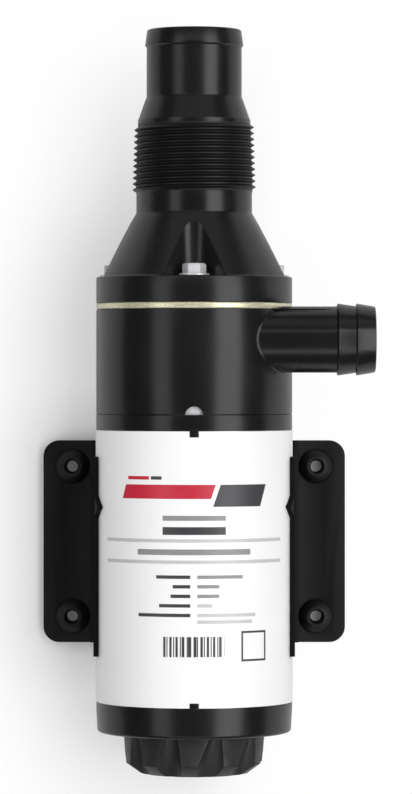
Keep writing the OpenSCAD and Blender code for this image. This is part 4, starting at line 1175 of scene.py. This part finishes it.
class PUMP_OT_knob(BenchOperator):
    """Models the turning knob with its scooped flutes and the flats between them"""

    bl_idname = "pump.knob"
    bl_label = "Turning knob"

    def scoop(self, rim, top, shoulder, bottom):
        """Cutter for one flute: a cone that widens and sinks in towards the knob's end"""
        top_radius, shoulder_radius = 2.9, 5.3
        top_height, shoulder_height = rim + 1.4, rim - 0.35
        top_x, shoulder_x = 0.75, -0.95
        past_top, past_bottom = 2.0, 3.0
        sections = []
        for station in (top + past_top, bottom - past_bottom):
            share = (top - station) / (top - shoulder)
            place = Vector((
                top_x + (shoulder_x - top_x) * share,
                station,
                top_height + (shoulder_height - top_height) * share,
            ))
            radius = top_radius + (shoulder_radius - top_radius) * share
            sections.append((radius, AXIS + place * MM))
        (first_radius, first), (last_radius, last) = sections
        clear_bench()
        bpy.ops.mesh.primitive_circle_add(
            vertices=56, radius=first_radius * MM, location=first, rotation=(math.pi / 2, 0, 0)
        )
        cutter = bpy.context.object
        bpy.ops.object.transform_apply(location=True, rotation=True, scale=True)
        bpy.ops.object.mode_set(mode="EDIT")
        bpy.ops.mesh.select_mode(type="VERT")
        bpy.ops.mesh.select_all(action="SELECT")
        bpy.ops.mesh.edge_face_add()
        bpy.ops.mesh.extrude_region_move(TRANSFORM_OT_translate={"value": last - first})
        ratio = last_radius / first_radius
        bpy.ops.transform.resize(value=(ratio, 1, ratio), center_override=last)
        mend_skin(cutter)
        return cutter

    def execute(self, context):
        size = sizes()
        low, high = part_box("turning_knob")
        rim, taper = 27.5, 0.6
        bottom, top = low.y / MM, high.y / MM
        shoulder = bottom + 4.2
        edge = rim - taper
        end = rim - 6.4
        outline = [
            (2.25, bottom + 2.4), (4.4, bottom + 2.4), (4.4, bottom), (end - 0.3, bottom),
            (end + 0.2, bottom + 0.12), (edge - 0.2, shoulder - 0.2), (edge, shoulder + 0.12),
            (rim, top - 0.2), (rim - 0.2, top), (22.1, top), (22.1, shoulder + 6), (8, shoulder + 6),
            (8, top), (4.02, top), (4.02, bottom + 4.2), (2.25, bottom + 4.2),
        ]
        piece = turned("knob", closed(millimetres(outline)), steps=160)
        front = math.radians(2)
        scoop = self.scoop(rim, top, shoulder, bottom)
        pitch = FULL_TURN / size.flutes
        scoops = [turned_copy(scoop, front + pitch * (i + 0.5)) for i in range(size.flutes)]
        bpy.data.objects.remove(scoop)
        carve(piece, *scoops)
        half_land = math.radians(12)
        flat_taper = 1.1
        foot = Vector((0, shoulder * MM, edge * math.cos(half_land) * MM))
        face = block(
            "face",
            AXIS + foot - SIDE * 16 * MM,
            AXIS + Vector((16 * MM, high.y + 3 * MM, 36 * MM)),
        )
        take(face)
        bpy.ops.transform.rotate(
            value=-math.atan(flat_taper / (top - shoulder)),
            orient_axis="X",
            center_override=AXIS + foot,
        )
        bpy.ops.object.transform_apply(location=True, rotation=True, scale=True)
        faces = [turned_copy(face, front + pitch * i) for i in range(size.flutes)]
        bpy.data.objects.remove(face)
        carve(piece, *faces)
        soften(piece, 0.3 * MM, 2, 30)
        hand_over(piece, "turning_knob_moulding", "knob", "turning_knob", body="rotor")
        return {"FINISHED"}


class PUMP_OT_bracket(BenchOperator):
    """Models the saddle, bent from one sheet, and the plate with its two ribs"""

    bl_idname = "pump.bracket"
    bl_label = "Saddle and plate"

    def saddle(self):
        low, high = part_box("saddle")
        thick, bend = 1.8 * MM, 3 * MM
        inside = bend - thick
        arm_top = AXIS_HEIGHT + 11 * MM
        turn = [math.pi / 2 * i / 6 for i in range(7)]
        corner_x, corner_z = high.x - bend, low.z + bend

        def arc(radius):
            return [(corner_x + radius * math.sin(a), corner_z - radius * math.cos(a)) for a in turn]

        right = [*arc(bend), (high.x, arm_top), (high.x - thick, arm_top), *reversed(arc(inside))]
        left = [(-x, z) for x, z in reversed(right)]
        points = [Vector((x, low.y, z)) for x, z in closed(right + left)]
        piece = prism("saddle", points, ALONG * (high.y - low.y))
        hook_y = (low.y + high.y) / 2 + 19.5 * MM
        half_foot, half_head, half_tip = 4.4 * MM, 4.0 * MM, 0.35 * MM
        label = reach("motor_label", HIGH, 2) - AXIS_HEIGHT
        near, far = label + 0.05 * MM, label + 1.85 * MM
        sleeve = turned(
            "hooks",
            closed([
                (near, hook_y - half_foot), (near, hook_y + half_foot),
                (far, hook_y + half_foot), (far, hook_y - half_foot),
            ]),
        )
        peak = arm_top + 4.3 * MM
        shoulder = peak - 0.15 * MM
        hook_line = [
            (hook_y - half_foot, arm_top - 1.2 * MM), (hook_y + half_foot, arm_top - 1.2 * MM),
            (hook_y + half_head, arm_top), (hook_y + half_tip, shoulder), (hook_y, peak),
            (hook_y - half_tip, shoulder), (hook_y - half_head, arm_top),
        ]
        across = 50 * MM
        line = [Vector((-across, y, z)) for y, z in closed(hook_line)]
        carve(sleeve, prism("wedge", line, SIDE * 2 * across), operation="INTERSECT")
        carve(piece, *screw_holes(low.z - MM, low.z + 3 * MM))
        carve(piece, sleeve, operation="UNION")
        soften(piece, 0.2 * MM, 2)
        hand_over(piece, "saddle_sheet", "painted", "saddle")

    def plate(self):
        low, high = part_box("base_plate")
        thick = 3 * MM
        piece = block("plate", low, (high.x, high.y, low.z + thick))
        open_up(piece, "EDGE")
        pick(piece, "edges", lambda e: abs(e.verts[0].co.z - e.verts[1].co.z) > MM)
        bpy.ops.mesh.bevel(offset=6.3 * MM, segments=14, affect="EDGES")
        clear_bench()
        saddle_x = reach("saddle", HIGH, 0)
        near, far = saddle_x + 0.4 * MM, saddle_x + 2.6 * MM
        ribs = []
        for left, right in ((-far, -near), (near, far)):
            rib = block("rib", (left, low.y, low.z + 2 * MM), (right, high.y, high.z))
            open_up(rib, "EDGE")
            pick(rib, "edges", lambda e: min(v.co.z for v in e.verts) > high.z - 0.1 * MM)
            bpy.ops.mesh.bevel(offset=0.5 * MM, segments=3, affect="EDGES")
            clear_bench()
            ribs.append(rib)
        carve(piece, *ribs, operation="UNION")
        under, over = low.z - MM, low.z + 5 * MM
        seats = [
            drill("grommet_hole", 5.05 * MM, under, over, place_of(name), UP) for name in GROMMETS
        ]
        carve(piece, *screw_holes(under, over), *seats)
        soften(piece, 0.3 * MM, 2, 40)
        hand_over(piece, "base_plate_moulding", "plate", "base_plate")

    def execute(self, context):
        self.saddle()
        self.plate()
        return {"FINISHED"}


class PUMP_OT_grommets(BenchOperator):
    """Models one rubber grommet with a domed collar and copies it to the four corners"""

    bl_idname = "pump.grommets"
    bl_label = "Grommets"

    def execute(self, context):
        low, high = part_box(GROMMETS[0])
        outer, top = (high.x - low.x) / 2 / MM, high.z / MM
        under = reach("base_plate", LOW, 2) / MM
        over = under + 3
        centre = place_of(GROMMETS[0])
        outline = [
            (2.3, 0), (outer - 0.5, 0), (outer - 0.15, 0.12), (outer, 0.5), (outer, under - 0.55),
            (outer - 0.12, under - 0.2), (outer - 0.5, under - 0.06), (4.95, under - 0.06),
            (4.95, over + 0.06), (outer - 0.3, over + 0.06), (outer, over + 0.3),
            (outer - 0.12, over + 0.75), (outer - 0.5, over + 1.4), (outer - 1.05, over + 2.15),
            (outer - 1.75, top - 1.05), (outer - 2.4, top - 0.45), (outer - 2.95, top - 0.12),
            (outer - 3.4, top), (3.15, top - 0.03), (2.85, top - 0.2), (2.6, top - 0.6),
            (2.4, top - 1.4), (2.3, top - 2.4),
        ]
        piece = turned("grommet", closed(millimetres(outline)), centre, UP, SIDE, 64)
        copies = [moved_copy(piece, place_of(name) - centre) for name in GROMMETS[1:]]
        for copy, name in zip([piece, *copies], GROMMETS):
            hand_over(copy, name + "_rubber", "rubber", name)
        return {"FINISHED"}


class PUMP_OT_fasteners(BenchOperator):
    """Models the inlet bolts and washers, the saddle's fixings, the through bolts and the knob screw"""

    bl_idname = "pump.fasteners"
    bl_label = "Fasteners"

    def hex_head(self, name, flats, low, high, centre, along=ALONG, down=False):
        """A hexagon head with the round chamfer that a header leaves on its outer face"""
        corner = flats / math.sqrt(3)
        piece = drill(name, corner, low, high, centre, along, 6)
        reach_out = corner * 1.01
        slope = flats * 0.09
        inner = flats / 2 * 0.97
        ends = [(0, low), (reach_out, low), (reach_out, high - slope), (inner, high), (0, high)]
        if down:
            ends = [(0, high), (reach_out, high), (reach_out, low + slope), (inner, low), (0, low)]
        trim = turned("chamfer", ends, centre, along, SIDE, 48)
        carve(piece, trim, operation="INTERSECT")
        return piece

    def hex_bolt(self, flats, thread, seat, head_end, tip, place):
        """A hexagon bolt along y, with its head's seat, its head's end and its tip as stations"""
        down = head_end < seat
        head = self.hex_head("bolt", flats, min(seat, head_end), max(seat, head_end), place, down=down)
        soften(head, 0.12 * MM, 2, 25)
        way = -1 if down else 1
        shank = turned(
            "shank",
            [
                (0, tip), (thread - 0.6 * MM, tip), (thread, tip + way * 0.7 * MM),
                (thread, seat + way * MM), (0, seat + way * MM),
            ],
            place, steps=32,
        )
        return gather(head, shank)

    def inlet_bolts(self):
        low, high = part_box("inlet_bolts")
        foot = reach("inlet_bolt_washers", HIGH, 1) + 0.02 * MM
        place = bolt_places()[0]
        bolt = self.hex_bolt(BOLT_FLATS, 2.5 * MM, foot, high.y, low.y, place)
        take(bolt)
        bpy.ops.transform.rotate(value=math.radians(30), orient_axis="Y", center_override=place)
        outline = [
            (2.75, 0), (5.75, 0), (5.9, 0.12), (5.9, 0.62), (5.78, 0.76), (5.6, 0.8), (2.9, 0.8),
            (2.75, 0.7),
        ]
        washer = turned("washer", closed(millimetres(outline, Y_FLANGE)), place, steps=64)
        bolts = gather(*for_each_bolt(bolt))
        washers = gather(*for_each_bolt(washer))
        hand_over(bolts, "inlet_bolts_hex", "steel", "inlet_bolts", 25)
        hand_over(washers, "inlet_bolt_washers_plain", "steel", "inlet_bolt_washers")

    def cross_recess(self, piece, centre, along, arm, width, start, end):
        """Cuts the cross for a screwdriver between two stations"""
        across = SIDE.cross(along)
        for x, other in ((arm, width), (width, arm)):
            half = SIDE * x + Vector([abs(k) for k in across]) * other
            slot = block("cross", centre - half + along * start, centre + half + along * end)
            carve(piece, slot)

    def saddle_fixings(self):
        low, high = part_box("saddle_screws")
        nut_low, nut_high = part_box("saddle_nuts")
        seat = reach("saddle", LOW, 2) + 1.83 * MM
        places = screw_places()
        place = places[0]
        rise = high.z - seat
        screw = turned(
            "screw",
            [
                (0, low.z), (1.5 * MM, low.z), (2 * MM, low.z + 0.6 * MM), (2 * MM, seat),
                (3.45 * MM, seat), (SCREW_HEAD, seat + 0.2 * MM), (3.45 * MM, seat + rise * 0.45),
                (2.9 * MM, seat + rise * 0.75), (1.9 * MM, seat + rise * 0.95), (0, high.z),
            ],
            place, UP, SIDE, 32,
        )
        self.cross_recess(screw, place, UP, 2.2 * MM, 0.42 * MM, seat + 0.9 * MM, high.z + MM)
        nut = self.hex_head("nut", 7 * MM, nut_low.z, nut_high.z, place, UP, down=True)
        carve(nut, drill("nut_bore", 2.02 * MM, nut_low.z - MM, nut_high.z + MM, place, UP, 32))
        soften(nut, 0.1 * MM, 1, 25)
        screws = gather(screw, *(moved_copy(screw, other - place) for other in places[1:]))
        nuts = gather(nut, *(moved_copy(nut, other - place) for other in places[1:]))
        hand_over(screws, "saddle_screws_pan", "steel", "saddle_screws", 40)
        hand_over(nuts, "saddle_nuts_hex", "steel", "saddle_nuts", 25)

    def through_bolts(self):
        low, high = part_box("through_bolts")
        place = AXIS - SIDE * THROUGH_BOLT_X
        bolt = self.hex_bolt(8 * MM, 2.45 * MM, low.y + 3.55 * MM, low.y, high.y, place)
        bolts = gather(bolt, turned_copy(bolt, math.pi))
        hand_over(bolts, "through_bolts_hex", "steel", "through_bolts", 25)

    def knob_screw(self):
        low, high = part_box("knob_screw")
        tip = [(0, 0), (1.5, 0), (2, -0.6)]
        head = [(2, 2.15), (3.85, 2.15), (3.9, 1.9), (3.75, 0.9), (3.1, 0.3), (2, 0.03), (0, 0)]
        outline = millimetres(tip, high.y) + millimetres(head, low.y)
        screw = turned("knob_screw", outline, steps=48)
        self.cross_recess(screw, AXIS, ALONG, 2.4 * MM, 0.45 * MM, low.y - MM, low.y + 1.2 * MM)
        hand_over(screw, "knob_screw_pan", "steel", "knob_screw", 40, body="rotor")

    def execute(self, context):
        self.inlet_bolts()
        self.saddle_fixings()
        self.through_bolts()
        self.knob_screw()
        return {"FINISHED"}


class PUMP_OT_brush_springs(BenchOperator):
    """Winds the two brush springs and gives each a mesh of its own"""

    bl_idname = "pump.brush_springs"
    bl_label = "Brush springs"

    def execute(self, context):
        low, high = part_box("brush_spring_upper")
        place = Vector((0, (low.y + high.y) / 2, 0))
        wire, mean, turns = 0.35 * MM, 1.95 * MM, 4
        steps = 32
        ring = [
            place - SIDE * (mean + wire * math.cos(a)) + UP * (low.z + wire + wire * math.sin(a))
            for a in (FULL_TURN * i / 12 for i in range(12))
        ]
        upper = draw_line("brush_spring", closed(ring), at=place)
        wind(
            upper,
            "Z",
            angle=FULL_TURN,
            steps=steps,
            render_steps=steps,
            screw_offset=(high.z - low.z - 2 * wire) / turns,
            iterations=turns,
        )
        lower = turned_copy(upper, math.pi)
        seat = high.z + 0.05 * MM
        # The last joint is one of the two brush slides, which have the same travel
        for piece, end, anchor_z in ((upper, "upper", seat), (lower, "lower", 2 * AXIS_HEIGHT - seat)):
            hand_over(piece, f"brush_spring_{end}_coil", "steel", f"brush_spring_{end}", 50)
            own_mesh(piece)
        return {"FINISHED"}


INNER_FINISHES = {
    "shell": ["motor_shell"],
    "rubber": ["inlet_o_ring", "housing_o_ring", "seal_cup", "slinger"],
    "steel": [
        "cutter_blade", "cutter_nut", "cutter_washer", "cutter_spacer", "impeller_pin", "seal_spring",
        "motor_shaft", "brush_plate_screws", "thermal_protector", "wave_washer",
    ],
    "vane": ["impeller"],
    "ceramic": ["seal_ring"],
    "carbon": ["seal_face", "brush_upper", "brush_lower"],
    "ground": [
        "front_outer_race", "front_inner_race", "front_balls", "rear_outer_race", "rear_inner_race",
        "rear_balls",
    ],
    "brass": ["front_ball_cage", "rear_ball_cage", "brush_holder_upper", "brush_holder_lower"],
    "sheets": ["armature_core"],
    "copper": ["armature_windings", "commutator_bars"],
    "phenolic": ["commutator_hub", "brush_plate"],
    "ferrite": ["magnet_upper", "magnet_lower"],
}


class PUMP_OT_inner_finishes(BenchOperator):
    """Gives every solid that keeps its own shape the finish of what it is made of"""

    bl_idname = "pump.inner_finishes"
    bl_label = "Inner finishes"

    def execute(self, context):
        for name, nodes in INNER_FINISHES.items():
            for node in nodes:
                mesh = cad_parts[node].data
                mesh.materials.clear()
                mesh.materials.append(finish_named(name))
        return {"FINISHED"}


class PUMP_OT_stage(BenchOperator):
    """Sets the pale floor, the soft lights and the camera"""

    bl_idname = "pump.stage"
    bl_label = "Floor, light and camera"

    # Name, angle, tilt, distance, width, length, power, and the rays that don't see the lamp
    lamps = (
        ("softbox_right", 41, 0, 1.2, 0.68, 1.5, 8.4, "diffuse"),
        ("softbox_left", -38, 0, 1.3, 0.48, 1.5, 2.7),
        ("strip_far", 0, 30, 1.2, 0.10, 1.2, 0.55, "diffuse"),
        ("strip_near", 0, -41, 1.2, 0.30, 1.2, 1.5, "diffuse"),
        ("end_panel", 0, 62, 1.4, 0.7, 1.8, 1.4, "diffuse"),
        ("key", 26, 0, 1.6, 1.0, 1.4, 18, "glossy"),
        ("overhead", 0, 0, 1.5, 2.4, 2.4, 18, "glossy"),
    )

    def floor(self):
        """Pale floor that keeps the shadow, with painted shade under and beside the plate, painted
        light that clears the shadow to the right and towards the inlet, and a painted darker reflection
        """
        clear_bench()
        bpy.ops.mesh.primitive_plane_add(size=6, location=(0, 0, -0.05 * MM))
        ground = bpy.context.object
        ground.name = "floor"
        finish = Finish("pale_floor")
        nodes, links = finish.tree.nodes, finish.tree.links
        seen = finish.node("ShaderNodeLightPath", output="Is Camera Ray")
        # Painted reflection: the floor's colour is darker for glossy rays, which dims its reflection on
        # the pump
        painted_darker_in_reflections = finish.node("ShaderNodeLightPath", output="Is Glossy Ray")
        finish.shade(
            Base_Color=finish.blend(painted_darker_in_reflections * 0.27, (0.95, 0.95, 0.95), (0, 0, 0)),
            Roughness=0.9,
            Specular_IOR_Level=0.1,
        )
        glow = nodes.new("ShaderNodeEmission")
        glow.inputs["Color"].default_value = (1, 1, 1, 1)
        x, y, _ = finish.parts_of(finish.place())
        # Painted shade: the floor's glow drops under the plate, so the floor looks dark through the
        # grommets' bores
        painted_shade_under_plate = (abs(x) < 55 * MM) * (abs(y) < 36 * MM)
        # Painted light: the floor glows more to the right and towards the inlet, which clears its
        # shadow there
        painted_light_towards_right = finish.spread(x, 0, 35 * MM, 0.0, 0.56)
        painted_light_towards_inlet = finish.spread(y, 115 * MM, 205 * MM, 0.0, 0.55)
        clear = finish.reckon("MAXIMUM", painted_light_towards_right, painted_light_towards_inlet)
        # Painted shadow: the floor's glow drops to the left, beside the plate
        painted_shadow_beside_plate = finish.spread(abs(y), 36 * MM, 62 * MM, 0.34, 0.0) * (x < 0)
        # lift is the painted light less the painted shadow beside the plate
        lift = clear - painted_shadow_beside_plate
        tone, painted_plate_shade = 0.4, 0.36
        mix = nodes.new("ShaderNodeMixShader")
        # The glow that camera rays see: an even tone plus the painted light and painted shade above
        finish.feed(mix.inputs[0], seen * (lift - painted_shade_under_plate * (lift + painted_plate_shade) + tone))
        links.new(finish.shader.outputs[0], mix.inputs[1])
        links.new(glow.outputs[0], mix.inputs[2])
        links.new(mix.outputs[0], nodes["Material Output"].inputs["Surface"])
        ground.data.materials.append(finish.material)

    def lamp(self, name, angle, tilt, distance, width, length, power, hidden_from=None):
        """A softbox that looks at the pump; angle leans it from above towards +x, tilt towards +y"""
        target = AXIS + ALONG * 55 * MM
        lean, tip = math.radians(angle), math.radians(tilt)
        way = Vector((math.sin(lean) * math.cos(tip), math.sin(tip), math.cos(lean) * math.cos(tip)))
        clear_bench()
        bpy.ops.object.light_add(type="AREA", location=target + way * distance)
        lamp = bpy.context.object
        lamp.name = name
        lamp.rotation_euler = way.to_track_quat("Z", "Y").to_euler()
        lamp.data.shape = "RECTANGLE"
        lamp.data.size = length
        lamp.data.size_y = width
        lamp.data.energy = power
        if hidden_from:
            setattr(lamp, "visible_" + hidden_from, False)

    def execute(self, context):
        self.floor()
        world = bpy.data.worlds.new("studio")
        context.scene.world = world
        world.use_nodes = True
        sky = world.node_tree.nodes["Background"].inputs
        sky["Color"].default_value = (1, 1, 1, 1)
        sky["Strength"].default_value = 0.08
        for row in self.lamps:
            self.lamp(*row)
        camera_data = bpy.data.cameras.new("camera")
        camera = bpy.data.objects.new("camera", camera_data)
        context.scene.collection.objects.link(camera)
        context.scene.camera = camera
        pixel, distance, sensor = 0.39 * MM, 1.56, 36
        frame_width, frame_height = 412, 794
        aim_x, aim_y = 194.2, 375
        camera_data.sensor_width = sensor
        camera_data.lens = sensor * distance / (pixel * frame_height)
        camera_data.shift_x = (frame_width / 2 - aim_x) / frame_height
        camera_data.shift_y = -(frame_height / 2 - aim_y) / frame_height
        camera.location = AXIS + ALONG * 66.5 * MM + UP * distance
        context.scene.view_settings.view_transform = "Standard"
        return {"FINISHED"}


class PUMP_PT_bench(Panel):
    """Sizes, colours and one button for each step"""

    bl_idname = "PUMP_PT_bench"
    bl_label = "Macerator pump"
    bl_space_type = "VIEW_3D"
    bl_region_type = "UI"
    bl_category = "Pump"

    def draw(self, context):
        layout = self.layout
        for group in (context.scene.pump_sizes, context.scene.pump_colours):
            box = layout.box()
            for name in group.__annotations__:
                box.prop(group, name)
        for operator in STEPS:
            layout.operator(operator.bl_idname)


STEPS = (
    PUMP_OT_stage,
    PUMP_OT_inner_finishes,
    PUMP_OT_inlet,
    PUMP_OT_wear_plate,
    PUMP_OT_housing,
    PUMP_OT_front_bell,
    PUMP_OT_motor,
    PUMP_OT_rear_bell,
    PUMP_OT_knob,
    PUMP_OT_bracket,
    PUMP_OT_grommets,
    PUMP_OT_fasteners,
    PUMP_OT_brush_springs,
)
CLASSES = (PumpSizes, PumpColours, *STEPS, PUMP_PT_bench)


def register():
    for cls in CLASSES:
        bpy.utils.register_class(cls)
    bpy.types.Scene.pump_sizes = PointerProperty(type=PumpSizes)
    bpy.types.Scene.pump_colours = PointerProperty(type=PumpColours)


def unregister():
    del bpy.types.Scene.pump_colours
    del bpy.types.Scene.pump_sizes
    for cls in reversed(CLASSES):
        bpy.utils.unregister_class(cls)


def main():
    register()
    for step in STEPS:
        group, name = step.bl_idname.split(".")
        getattr(getattr(bpy.ops, group), name)()


if __name__ == "__main__":
    main()
